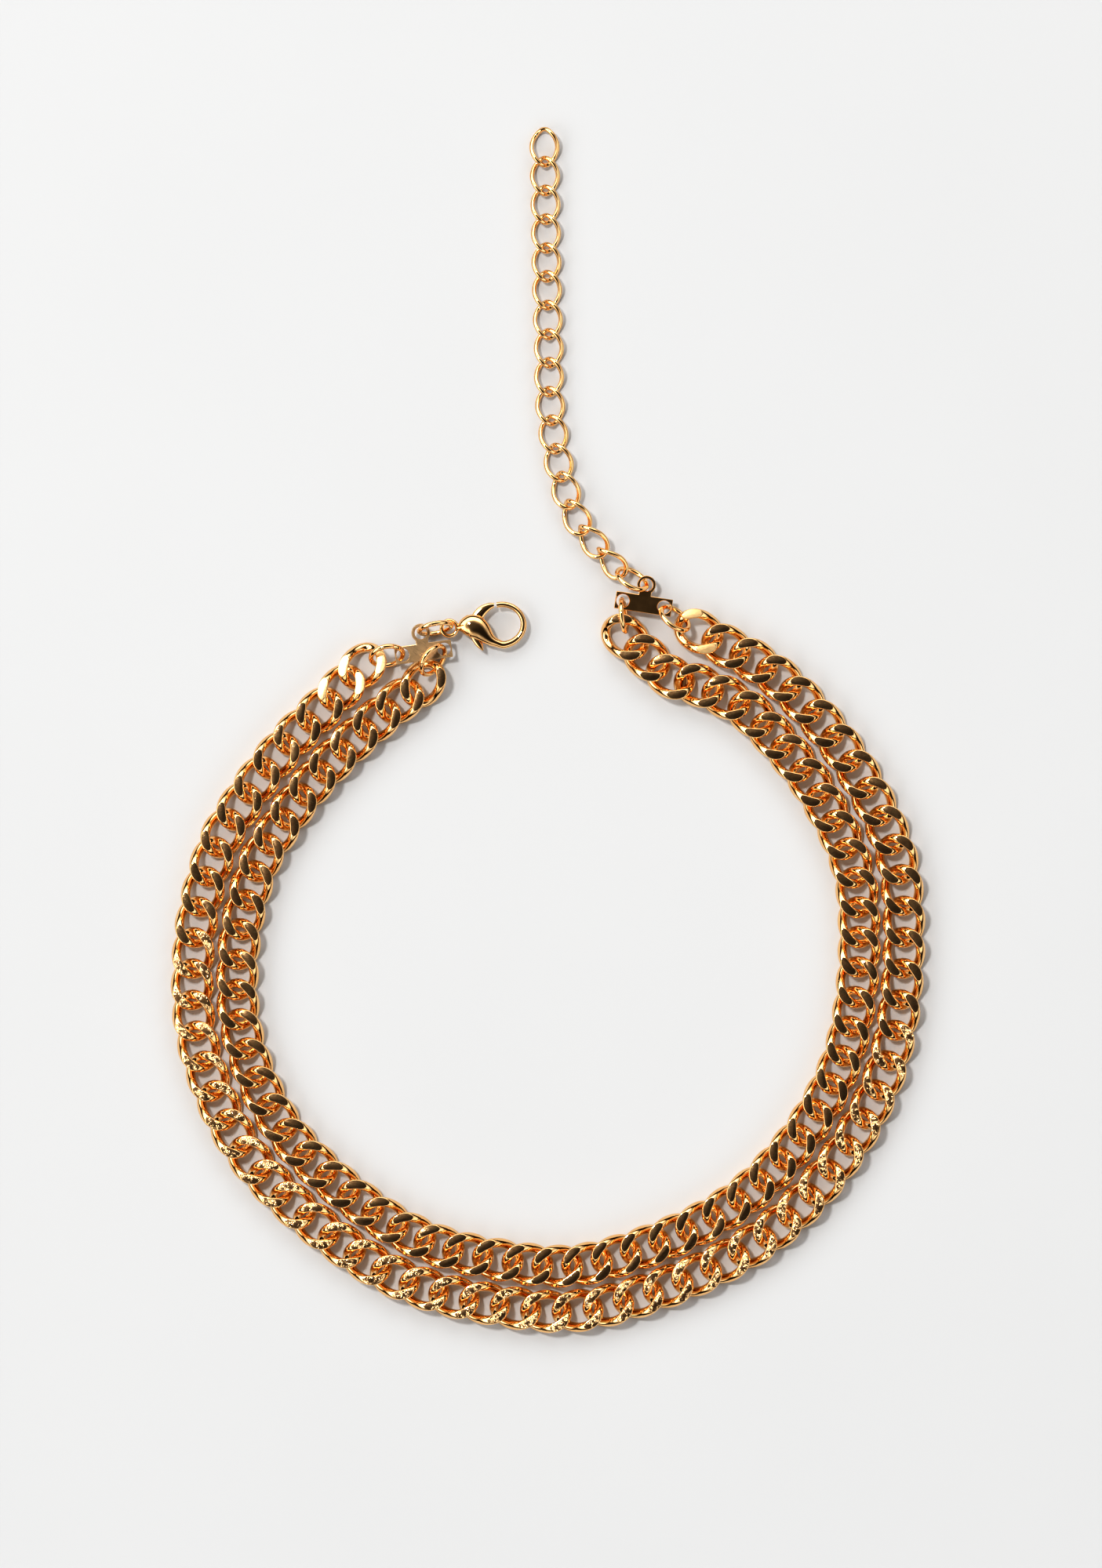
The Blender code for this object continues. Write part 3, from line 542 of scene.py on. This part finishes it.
def ground_facet(name, dark, pale, glitter, matt):
    """A flat left by a grinding wheel: a dim mirror with fine scratches and coarse bright pits."""
    material, shader, add, link = new_material(name)
    place = add("ShaderNodeTexCoord").outputs["Object"]
    patch = add("ShaderNodeTexNoise", Vector=place, Scale=1400, Detail=4, Roughness=0.65)
    tint = ramp(add, patch.outputs["Fac"], [(0.4, dark), (0.72, pale)])
    link(tint, shader.inputs["Base Color"])
    cut = add("ShaderNodeMapping", Vector=place, Scale=(1, 7, 1), Rotation=(0, 0, 0.6))
    marks = add("ShaderNodeTexNoise", Vector=cut.outputs["Vector"], Scale=2200, Detail=3)
    polish = ramp(add, marks.outputs["Fac"], [(0.3, grey(matt * 0.7)), (0.7, grey(matt * 1.3))])
    link(polish, shader.inputs["Roughness"])
    low = add("ShaderNodeBump", Height=marks.outputs["Fac"], Strength=0.18, Distance=0.00003)
    pits = add("ShaderNodeTexVoronoi", {"feature": 'F1'}, Vector=place, Scale=6500)
    where = ramp(add, patch.outputs["Fac"], [(0.44, grey(0)), (0.58, grey(glitter))])
    fine = add("ShaderNodeBump", Height=pits.outputs["Distance"], Strength=where,
               Distance=0.00008, Normal=low.outputs["Normal"])
    link(fine.outputs["Normal"], shader.inputs["Normal"])
    return material


def dark_mirror(name, colour):
    """A stamped plate with a flat bright face, faintly clouded and dented by the press."""
    material, shader, add, link = new_material(name)
    place = add("ShaderNodeTexCoord").outputs["Object"]
    cloud = add("ShaderNodeTexNoise", Vector=place, Scale=600, Detail=5).outputs["Fac"]
    tint = ramp(add, cloud, [(0.35, tuple(c * 0.8 for c in colour)), (0.7, colour)])
    link(tint, shader.inputs["Base Color"])
    polish = ramp(add, cloud, [(0.35, grey(0.05)), (0.75, grey(0.13))])
    link(polish, shader.inputs["Roughness"])
    dents = add("ShaderNodeBump", Height=cloud, Strength=0.04, Distance=0.00004)
    link(dents.outputs["Normal"], shader.inputs["Normal"])
    return material


def brushed_plate(name, colour, turn):
    """A stamped plate, rubbed one way with a fine abrasive."""
    material, shader, add, link = new_material(name)
    place = add("ShaderNodeTexCoord").outputs["Object"]
    turned = add("ShaderNodeMapping", Vector=place, Rotation=(0, 0, turn))
    along = add("ShaderNodeMapping", Vector=turned.outputs["Vector"], Scale=(1, 22, 1))
    brush = add("ShaderNodeTexNoise", Vector=along.outputs["Vector"], Scale=1500, Detail=4)
    darker = tuple(c * 0.86 for c in colour)
    tint = ramp(add, brush.outputs["Fac"], [(0.35, darker), (0.65, colour)])
    link(tint, shader.inputs["Base Color"])
    polish = ramp(add, brush.outputs["Fac"], [(0.3, grey(0.26)), (0.7, grey(0.4))])
    link(polish, shader.inputs["Roughness"])
    low = add("ShaderNodeBump", Height=brush.outputs["Fac"], Strength=0.14, Distance=0.00003)
    link(low.outputs["Normal"], shader.inputs["Normal"])
    return material


def plain_steel(name, colour):
    """Drawn spring steel with fine lengthwise drawing marks."""
    material, shader, add, link = new_material(name)
    place = add("ShaderNodeTexCoord").outputs["Object"]
    marks = add("ShaderNodeTexNoise", Vector=place, Scale=5000, Detail=2).outputs["Fac"]
    tint = ramp(add, marks, [(0.3, tuple(c * 0.85 for c in colour)), (0.7, colour)])
    link(tint, shader.inputs["Base Color"])
    polish = ramp(add, marks, [(0.3, grey(0.25)), (0.7, grey(0.4))])
    link(polish, shader.inputs["Roughness"])
    return material


def table_finish(name, colour):
    """A smooth matt board with the faintest mottling."""
    material, shader, add, link = new_material(name)
    shader.inputs["Metallic"].default_value = 0
    shader.inputs["Roughness"].default_value = 0.7
    shader.inputs["Specular IOR Level"].default_value = 0.2
    place = add("ShaderNodeTexCoord").outputs["Object"]
    mottle = add("ShaderNodeTexNoise", Vector=place, Scale=18, Detail=3).outputs["Fac"]
    tint = ramp(add, mottle, [(0.3, tuple(c * 0.99 for c in colour)), (0.7, colour)])
    link(tint, shader.inputs["Base Color"])
    return material


def finish(name):
    """A named finish, made once and shared by like pieces."""
    if name in bpy.data.materials:
        return bpy.data.materials[name]
    colours = bpy.context.scene.choker_colours
    gold, deep = tuple(colours.gold), tuple(colours.gold_deep)
    facet, pale = tuple(colours.facet), tuple(colours.facet_pale)
    makers = {
        "polished_link": lambda: polished_gold(name, gold, deep),
        "polished_wire": lambda: polished_gold(name, gold, deep, 0.04, 0.08),
        "cast_clasp": lambda: polished_gold(name, gold, deep, 0.04, 0.08),
        "dark_mirror": lambda: dark_mirror(name, deep),
        "ground_dark": lambda: ground_facet(name, facet, pale, 0.12, 0.17),
        "ground_sparkle": lambda: ground_facet(name, facet, pale, 0.9, 0.2),
        "ground_glint": lambda: ground_facet(name, pale, pale, 0.1, 0.36),
        "ground_matt": lambda: ground_facet(name, pale, pale, 0.3, 0.5),
        "brushed_plate": lambda: brushed_plate(name, tuple(colours.plate), math.radians(38)),
        "spring_steel": lambda: plain_steel(name, tuple(colours.steel)),
        "pale_table": lambda: table_finish(name, tuple(colours.table)),
    }
    return makers[name]()


# Shapes --------------------------------------------------------------------------------------------

def add_torus(bm, radius, wire, steps, sides, seam=0.0):
    """A ring of round wire in the XY plane, whole or with a narrow cut."""
    turn = Matrix.Translation((radius, 0, 0)) @ Matrix.Rotation(math.pi / 2, 4, 'X')
    section = bmesh.ops.create_circle(
        bm, cap_ends=seam > 0, segments=sides, radius=wire / 2, matrix=turn)
    geom = list(section["verts"])
    geom += list({e for v in geom for e in v.link_edges})
    geom += list({f for v in section["verts"] for f in v.link_faces})
    bmesh.ops.spin(
        bm, geom=geom, axis=UP, cent=(0, 0, 0), angle=2 * math.pi - seam, steps=steps,
        use_merge=seam == 0)


def bend_round(bm, radius, centreline):
    """Carry a ring's wire onto a closed centreline, given as a function of the turn."""
    for vert in bm.verts:
        turn = math.atan2(vert.co.y, vert.co.x)
        out = math.hypot(vert.co.x, vert.co.y) - radius
        here = centreline(turn)
        along = (centreline(turn + 0.01) - centreline(turn - 0.01)).normalized()
        side = along.cross(UP).normalized()
        vert.co = here + side * out + side.cross(along) * vert.co.z


def facet_cut(bm, sign_x, sign_y, point, normal):
    """Grind one quarter of a link flat, and give the flat its own finish."""
    faces = [
        f for f in bm.faces
        if f.calc_center_median().x * sign_x > 0 and f.calc_center_median().y * sign_y > 0]
    edges = {e for f in faces for e in f.edges}
    verts = {v for f in faces for v in f.verts}
    made = bmesh.ops.bisect_plane(
        bm, geom=[*verts, *edges, *faces], plane_co=point, plane_no=normal, clear_outer=True)
    cut = [g for g in made["geom_cut"] if isinstance(g, bmesh.types.BMEdge)]
    filled = bmesh.ops.holes_fill(bm, edges=cut, sides=0)["faces"]
    for face in filled:
        face.material_index = 1
    return filled


def curb_link(bm, sizes, tilts):
    """A twisted link of round wire, ground flat at two places above and two below."""
    wire = sizes.link_wire
    length = LINK_LENGTH / 2 - wire / 2
    width = LINK_WIDTH / 2 - wire / 2

    def centreline(turn):
        rise = math.sin(2 * turn)
        lift = -sizes.link_lift * math.copysign(abs(rise) ** 0.9, rise)
        return Vector((length * math.cos(turn), width * math.sin(turn), lift))

    add_torus(bm, LINK_LENGTH / 2, wire, 44, 14)
    bend_round(bm, LINK_LENGTH / 2, centreline)
    bmesh.ops.recalc_face_normals(bm, faces=bm.faces)
    flats = []
    half = LINK_THICKNESS / 2
    for sign_x, sign_y, side in ((-1, 1, 1), (1, -1, 1), (1, 1, -1), (-1, -1, -1)):
        middle = centreline(math.atan2(sign_y, sign_x))
        point = Vector((middle.x, middle.y, half * side))
        tilt = tilts[0] if sign_y > 0 else tilts[1]
        normal = Vector((tilt[0], tilt[1], 1)) if side > 0 else Vector((0, 0, -1))
        if side > 0:
            point.z -= LINK_WIRE * 0.3 * math.hypot(*tilt)
        flats += facet_cut(bm, sign_x, sign_y, point, normal)
    rims = {e for f in flats for e in f.edges}
    bmesh.ops.bevel(
        bm, geom=list(rims), offset=sizes.facet_rim, offset_type='OFFSET', segments=2,
        profile=0.5, affect='EDGES', material=0)


def loft(bm, stations, sides):
    """A smooth bar extruded through stations: middle, heading, half-width, half-height."""
    places = []
    for middle, along, wide, tall in stations:
        turn = Matrix((along.cross(UP).normalized(), UP, along)).transposed().to_4x4()
        places.append(Matrix.Translation(middle) @ turn @ Matrix.Diagonal((wide, tall, 1, 1)))
    before = places[0]
    ring = bmesh.ops.create_circle(
        bm, cap_ends=True, segments=sides, radius=1, matrix=before)["verts"]
    edges = list({e for v in ring for e in v.link_edges})
    for place in places[1:]:
        made = bmesh.ops.extrude_edge_only(bm, edges=edges)["geom"]
        verts = [g for g in made if isinstance(g, bmesh.types.BMVert)]
        edges = [g for g in made if isinstance(g, bmesh.types.BMEdge)]
        edges = [e for e in edges if all(v in set(verts) for v in e.verts)]
        bmesh.ops.transform(bm, matrix=place @ before.inverted(), verts=verts)
        before = place
    bmesh.ops.holes_fill(bm, edges=edges, sides=0)
    bmesh.ops.recalc_face_normals(bm, faces=bm.faces)


def add_slab(bm, outline, thick):
    """A level outline thickened equally up and down."""
    face = bm.faces.new([bm.verts.new((x, y, -thick / 2)) for x, y in outline])
    made = bmesh.ops.extrude_face_region(bm, geom=[face])["geom"]
    raised = [g for g in made if isinstance(g, bmesh.types.BMVert)]
    bmesh.ops.translate(bm, verts=raised, vec=(0, 0, thick))


def stations_through(points):
    """Loft stations along a smooth curve through (x, y, half-width, half-height) rows."""
    steps = 5
    rows = [Vector(p) for p in points]
    ends = [rows[0] * 2 - rows[1]] + rows + [rows[-1] * 2 - rows[-2]]
    fine = []
    for before, start, end, after in zip(ends, ends[1:], ends[2:], ends[3:]):
        for k in range(steps):
            u = k / steps
            b = (end - before) * u
            c = (before * 2 - start * 5 + end * 4 - after) * u ** 2
            d = (start * 3 - before - end * 3 + after) * u ** 3
            fine.append((start * 2 + b + c + d) / 2)
    fine.append(rows[-1])
    stations = []
    for i, row in enumerate(fine):
        after, before = fine[min(i + 1, len(fine) - 1)], fine[max(i - 1, 0)]
        along = Vector((after[0] - before[0], after[1] - before[1], 0)).normalized()
        stations.append((Vector((row[0], row[1], 0)), along, row[2], row[3]))
    return stations


# Pieces --------------------------------------------------------------------------------------------

def piece(name, bm, place, body, replaced, materials, slot=None):
    """One finished piece: its mesh in place and riding on its body, with the CAD nodes that it
    replaces hidden.
    """
    bmesh.ops.transform(bm, matrix=place, verts=bm.verts)
    mesh = bpy.data.meshes.new(name)
    bm.to_mesh(mesh)
    bm.free()
    for material in materials:
        mesh.materials.append(finish(material))
    mesh.shade_smooth()
    mesh.set_sharp_from_angle(angle=math.radians(50))
    made = bpy.data.objects.new(name, mesh)
    bpy.context.scene.collection.objects.link(made)
    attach(made, body)
    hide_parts(*replaced)
    slot or replaced[0]
    return made


def combined(made, operation, build):
    """Join or cut a shape on a finished piece, leaving one plain mesh."""
    bm = bmesh.new()
    build(bm)
    mesh = bpy.data.meshes.new("tool")
    bm.to_mesh(mesh)
    bm.free()
    tool = bpy.data.objects.new("tool", mesh)
    bpy.context.scene.collection.objects.link(tool)
    modifier = made.modifiers.new("tool", 'BOOLEAN')
    modifier.operation = operation
    modifier.solver = 'EXACT'
    modifier.object = tool
    bpy.context.view_layer.update()
    graph = bpy.context.evaluated_depsgraph_get()
    result = bpy.data.meshes.new_from_object(made.evaluated_get(graph))
    made.modifiers.remove(modifier)
    made.data = result
    bpy.data.objects.remove(tool)
    result.shade_smooth()
    result.set_sharp_from_angle(angle=math.radians(40))


def uneven(i, spread):
    """A small repeatable unevenness for the i-th link."""
    return (math.sin(i * 12.9898 + spread) * 43758.5453) % 1 * 2 - 1


def uneven_tilts(i, starts):
    """How far the i-th link's two upper flats lean to +X and +Y, one start for each flat."""
    spread = math.tan(bpy.context.scene.choker_sizes.facet_tilt)
    return [(spread * uneven(i, s), spread * uneven(i, s + 1)) for s in starts]


def strand(prefix, links, bodies, tilt_of, ground_of):
    """Every link of one strand."""
    sizes = bpy.context.scene.choker_sizes
    for i, (place, body) in enumerate(zip(links, bodies)):
        bm = bmesh.new()
        curb_link(bm, sizes, tilt_of(i, place))
        metals = ["polished_link", ground_of(i)]
        piece(f"{prefix}_link_{i + 1:02d}", bm, place, body, [body], metals)


def tilts_for(place, wanted):
    """Facet tilts for one link, given in the table's directions."""
    turn = place.to_3x3().inverted()
    tilts = []
    for x, y in wanted:
        local = turn @ Vector((x, y, 0))
        tilts.append((local.x, local.y))
    return tilts


LAYOUT = Layout()


class CHOKER_OT_outer_strand(bpy.types.Operator):
    """Build the outer curb chain, link by link"""
    bl_idname = "choker.outer_strand"
    bl_label = "Outer Strand"

    def execute(self, context):
        def tilt_of(i, place):
            wanted = uneven_tilts(i, (0.1, 2.3))
            if i >= len(LAYOUT.outer) - len(GLINTS):
                wanted = [GLINTS[i - len(LAYOUT.outer)]] * 2
            return tilts_for(place, wanted)

        def ground_of(i):
            if i == 0:
                return "ground_matt"
            if i >= len(LAYOUT.outer) - len(GLINTS):
                return "ground_glint"
            return "ground_sparkle" if i in SPARKLING else "ground_dark"

        strand("outer", LAYOUT.outer, LAYOUT.outer_bodies, tilt_of, ground_of)
        return {'FINISHED'}


class CHOKER_OT_inner_strand(bpy.types.Operator):
    """Build the inner curb chain, link by link"""
    bl_idname = "choker.inner_strand"
    bl_label = "Inner Strand"

    def execute(self, context):
        def tilt_of(i, place):
            return tilts_for(place, uneven_tilts(i, (4.7, 7.9)))

        strand("inner", LAYOUT.inner, LAYOUT.inner_bodies, tilt_of, lambda i: "ground_dark")
        return {'FINISHED'}


class CHOKER_OT_jump_rings(bpy.types.Operator):
    """Build the six jump rings, each cut once and closed up"""
    bl_idname = "choker.jump_rings"
    bl_label = "Jump Rings"

    def execute(self, context):
        seam = context.scene.choker_sizes.ring_seam
        for name, place in LAYOUT.rings.items():
            bm = bmesh.new()
            add_torus(bm, RING_RADIUS, RING_WIRE, 56, 16, seam)
            bmesh.ops.rotate(
                bm, verts=bm.verts, matrix=Matrix.Rotation(math.radians(RING_SEAMS[name]), 3, 'Z'))
            bmesh.ops.recalc_face_normals(bm, faces=bm.faces)
            piece(name + "_wire", bm, place, name, [name], ["polished_wire"])
        return {'FINISHED'}


class CHOKER_OT_end_plates(bpy.types.Operator):
    """Stamp the two end plates with their holes and eyes"""
    bl_idname = "choker.end_plates"
    bl_label = "End Plates"

    def execute(self, context):
        edge = context.scene.choker_sizes.plate_edge
        for name, place in LAYOUT.plates.items():
            bm = bmesh.new()
            half, side = PLATE_LENGTH / 2, PLATE_WIDTH / 2
            shape = [(-half, -side), (half, -side), (half, side)]
            turns = [
                math.radians(EYE_FROM + EYE_RUN * k / EYE_STEPS) for k in range(EYE_STEPS + 1)]
            eye = [
                (EYE_RADIUS * math.cos(t), EYE_NECK + EYE_RADIUS * math.sin(t)) for t in turns]
            shape += [(eye[0][0], side)] + eye + [(eye[-1][0], side), (-half, side)]
            add_slab(bm, shape, PLATE_THICKNESS)
            bmesh.ops.recalc_face_normals(bm, faces=bm.faces)
            metal = "dark_mirror" if name == "right_bar" else "brushed_plate"
            made = piece(name + "_plate", bm, place, name, [name], [metal])
            holes = ((-HOLE_SPACING / 2, 0, HOLE_RADIUS), (HOLE_SPACING / 2, 0, HOLE_RADIUS),
                     (0, EYE_NECK, EYE_HOLE))

            def punch(tool):
                for x, y, radius in holes:
                    bmesh.ops.create_cone(
                        tool, cap_ends=True, segments=40, radius1=radius + HOLE_EASE,
                        radius2=radius + HOLE_EASE,
                        depth=PLATE_THICKNESS * 3, matrix=place @ Matrix.Translation((x, y, 0)))

            combined(made, 'DIFFERENCE', punch)
            rounded = made.modifiers.new("edge", 'BEVEL')
            rounded.width = edge
            rounded.segments = 2
            rounded.limit_method = 'ANGLE'
            rounded.angle_limit = math.radians(50)
        return {'FINISHED'}


class CHOKER_OT_extender(bpy.types.Operator):
    """Build the extender's twisted links"""
    bl_idname = "choker.extender"
    bl_label = "Extender"

    def execute(self, context):
        for k, place in enumerate(LAYOUT.extender):
            bm = bmesh.new()
            add_torus(bm, EXT_LENGTH / 2, EXT_WIRE, 48, 14)
            roll = extender_roll(k)
            bend_loop(bm, EXT_LENGTH / 2, lambda turn: extender_point(turn, roll))
            bmesh.ops.recalc_face_normals(bm, faces=bm.faces)
            name = f"ext_link_{k + 1:02d}"
            piece(name + "_wire", bm, place, name, [name], ["polished_wire"])
        return {'FINISHED'}


def bend_loop(bm, radius, centreline):
    """As bend_round, for a loop whose wire may run steeply: the side points away from its middle."""
    for vert in bm.verts:
        turn = math.atan2(vert.co.y, vert.co.x)
        out = math.hypot(vert.co.x, vert.co.y) - radius
        here = centreline(turn)
        along = (centreline(turn + 0.01) - centreline(turn - 0.01)).normalized()
        side = (here - along * here.dot(along)).normalized()
        vert.co = here + side * out + along.cross(side) * vert.co.z


class CHOKER_OT_clasp_body(bpy.types.Operator):
    """Cast the clasp's body: tail loop, bulb and hook, with the pocket for the gate"""
    bl_idname = "choker.clasp_body"
    bl_label = "Clasp Body"

    def execute(self, context):
        place = LAYOUT.clasp
        rows = list(BULB_ROWS)
        for k in range(HOOK_STEPS + 1):
            share = k / HOOK_STEPS
            turn = math.radians(-90 + (HOOK_TO + 90) * share)
            thin = HOOK_WIRE / 2 * (0.98 - 0.24 * min(1.0, share * 1.8))
            rows.append((HOOK_LONG * math.cos(turn), HOOK_TALL * math.sin(turn), thin, thin))
        bm = bmesh.new()
        loft(bm, stations_through(rows), 28)
        made = piece("clasp_hook", bm, place, "clasp_body", ["clasp_body"], ["cast_clasp"])

        def tail(tool):
            add_torus(tool, TAIL_RADIUS, TAIL_WIRE, 40, 14)
            bmesh.ops.recalc_face_normals(tool, faces=tool.faces)
            bmesh.ops.transform(
                tool, matrix=place @ Matrix.Translation((TAIL_CENTRE, 0, 0)), verts=tool.verts)

        def pocket(tool):
            add_slab(tool, [(PIVOT[0] + x, PIVOT[1] + y) for x, y in POCKET_OUTLINE],
                     2 * POCKET_DEEP)
            bmesh.ops.recalc_face_normals(tool, faces=tool.faces)
            bmesh.ops.transform(tool, matrix=place, verts=tool.verts)

        combined(made, 'UNION', tail)
        combined(made, 'DIFFERENCE', pocket)
        return {'FINISHED'}


class CHOKER_OT_clasp_lever(bpy.types.Operator):
    """Build the clasp's gate: its arm, hub and thumb nub"""
    bl_idname = "choker.clasp_lever"
    bl_label = "Clasp Lever"

    def execute(self, context):
        place = LAYOUT.clasp
        bm = bmesh.new()
        loft(bm, stations_through(GATE_ROWS), 20)
        made = piece("clasp_gate", bm, place, "clasp_lever", ["clasp_lever"], ["cast_clasp"])

        def bore(tool):
            bmesh.ops.create_cone(
                tool, cap_ends=True, segments=24, radius1=PIN_RADIUS + 0.00004,
                radius2=PIN_RADIUS + 0.00004, depth=LEVER_WIRE * 2,
                matrix=place @ Matrix.Translation((*PIVOT, 0)))

        combined(made, 'DIFFERENCE', bore)
        return {'FINISHED'}


class CHOKER_OT_clasp_fittings(bpy.types.Operator):
    """Build the clasp's rivet, and finish the leaf spring behind the gate"""
    bl_idname = "choker.clasp_fittings"
    bl_label = "Clasp Rivet and Spring"

    def execute(self, context):
        bm = bmesh.new()
        tall = BULB_TALL * PIN_TALL
        bmesh.ops.create_cone(
            bm, cap_ends=True, segments=24, radius1=PIN_RADIUS, radius2=PIN_RADIUS,
            depth=2 * tall, matrix=Matrix.Translation((*PIVOT, 0)))
        ends = [e for e in bm.edges if abs(e.verts[0].co.z - e.verts[1].co.z) < 1e-6]
        bmesh.ops.bevel(
            bm, geom=ends, offset=PIN_RADIUS * 0.35, offset_type='OFFSET', segments=3,
            profile=0.5, affect='EDGES', material=-1)
        piece("clasp_rivet", bm, LAYOUT.clasp, "clasp_body", ["clasp_pin"], ["cast_clasp"])
        spring = frame["nodes"]["clasp_spring"]
        spring.data.materials.clear()
        spring.data.materials.append(finish("spring_steel"))
        return {'FINISHED'}


class CHOKER_OT_stage(bpy.types.Operator):
    """Lay the pale table and set the camera and the lights"""
    bl_idname = "choker.stage"
    bl_label = "Table, Camera and Lights"

    def execute(self, context):
        scene = context.scene
        stage = scene.choker_stage
        bm = bmesh.new()
        bmesh.ops.create_grid(bm, x_segments=2, y_segments=2, size=1.6)
        mesh = bpy.data.meshes.new("table")
        bm.to_mesh(mesh)
        bm.free()
        mesh.materials.append(finish("pale_table"))
        table = bpy.data.objects.new("table", mesh)
        scene.collection.objects.link(table)
        self.light_room(scene, stage)
        self.aim_camera(scene, stage)
        scene.view_settings.view_transform = 'Standard'
        scene.view_settings.look = 'High Contrast'
        return {'FINISHED'}

    def light_room(self, scene, stage):
        """Dark walls, a bright ring of light above them, a dim ceiling and a small hard key."""
        world = bpy.data.worlds.new("studio")
        scene.world = world
        world.use_nodes = True
        tree = world.node_tree

        def add(kind, **inputs):
            node = tree.nodes.new(kind)
            for key, value in inputs.items():
                tree.links.new(value, node.inputs[key.replace("_", " ")])
            return node

        way = add("ShaderNodeTexCoord").outputs["Generated"]
        high = add("ShaderNodeSeparateXYZ", Vector=way).outputs["Z"]
        fill, zenith = stage.fill, stage.zenith
        rise = ramp(add, high, [
            (0.0, grey(0.03)), (0.26, grey(0.03)), (0.33, grey(0.5 * fill)),
            (0.42, grey(fill)), (0.68, grey(fill)), (0.80, grey(0.25 * fill)),
            (0.90, grey(zenith * 1.5)), (0.975, grey(zenith))])
        side = tree.nodes.new("ShaderNodeVectorMath")
        side.operation = 'DOT_PRODUCT'
        side.inputs[1].default_value = (-0.36, 0.33, 0.1)
        tree.links.new(way, side.inputs[0])
        bias = tree.nodes.new("ShaderNodeMath")
        bias.operation = 'ADD'
        bias.inputs[1].default_value = 0.5
        tree.links.new(side.outputs["Value"], bias.inputs[0])
        sweep = ramp(add, bias.outputs[0], [
            (0.0, grey(0.6)), (0.25, grey(0.4)), (0.4, grey(0.18)), (0.54, grey(0.4)),
            (0.66, grey(1.0)), (1.0, grey(1.0))])
        shade = tree.nodes.new("ShaderNodeVectorMath")
        shade.operation = 'MULTIPLY'
        tree.links.new(rise, shade.inputs[0])
        tree.links.new(sweep, shade.inputs[1])
        background = tree.nodes["Background"]
        tree.links.new(shade.outputs["Vector"], background.inputs["Color"])
        lamp = bpy.data.lights.new("key", 'AREA')
        lamp.shape = 'DISK'
        lamp.size = KEY_SIZE
        lamp.energy = stage.key
        key = bpy.data.objects.new("key", lamp)
        towards = Vector(KEY_WAY).normalized()
        key.location = towards * KEY_DISTANCE
        key.rotation_euler = towards.to_track_quat('Z', 'Y').to_euler()
        scene.collection.objects.link(key)

    def aim_camera(self, scene, stage):
        """Straight down, with the whole length of the piece a little above the middle."""
        low, high = (Vector(corner) for corner in CAD_BOX)
        tall = (high.y - low.y) * VIEW_TALL
        lens = bpy.data.cameras.new("camera")
        lens.lens = lens.sensor_width * (stage.height - high.z * 0.35) / tall
        lens.clip_start = 0.01
        camera = bpy.data.objects.new("camera", lens)
        middle = low.y + (high.y - low.y) * VIEW_MIDDLE
        camera.location = (VIEW_ASIDE, middle, stage.height)
        scene.collection.objects.link(camera)
        scene.camera = camera


class CHOKER_PT_pieces(bpy.types.Panel):
    """The choker's pieces, in the order they are made"""
    bl_idname = "CHOKER_PT_pieces"
    bl_label = "Curb Chain Choker"
    bl_space_type = 'VIEW_3D'
    bl_region_type = 'UI'
    bl_category = "Choker"

    def draw(self, context):
        layout = self.layout
        for group in ("choker_sizes", "choker_colours", "choker_stage"):
            box = layout.box()
            values = getattr(context.scene, group)
            for key in values.__annotations__:
                box.prop(values, key)
        for operator in OPERATORS:
            layout.operator(operator.bl_idname)


OPERATORS = (
    CHOKER_OT_outer_strand, CHOKER_OT_inner_strand, CHOKER_OT_jump_rings,
    CHOKER_OT_end_plates, CHOKER_OT_extender, CHOKER_OT_clasp_body, CHOKER_OT_clasp_lever,
    CHOKER_OT_clasp_fittings, CHOKER_OT_stage,
)
GROUPS = (ChokerSizes, ChokerColours, ChokerStage)


def register():
    for cls in (*GROUPS, *OPERATORS, CHOKER_PT_pieces):
        bpy.utils.register_class(cls)
    bpy.types.Scene.choker_sizes = PointerProperty(type=ChokerSizes)
    bpy.types.Scene.choker_colours = PointerProperty(type=ChokerColours)
    bpy.types.Scene.choker_stage = PointerProperty(type=ChokerStage)


def unregister():
    del bpy.types.Scene.choker_stage
    del bpy.types.Scene.choker_colours
    del bpy.types.Scene.choker_sizes
    for cls in reversed((*GROUPS, *OPERATORS, CHOKER_PT_pieces)):
        bpy.utils.unregister_class(cls)


def main():
    register()
    for operator in OPERATORS:
        group, name = operator.bl_idname.split(".")
        result = getattr(getattr(bpy.ops, group), name)()
        if result != {'FINISHED'}:
            raise RuntimeError(f"{operator.bl_label} did not finish")


if __name__ == "__main__":
    main()
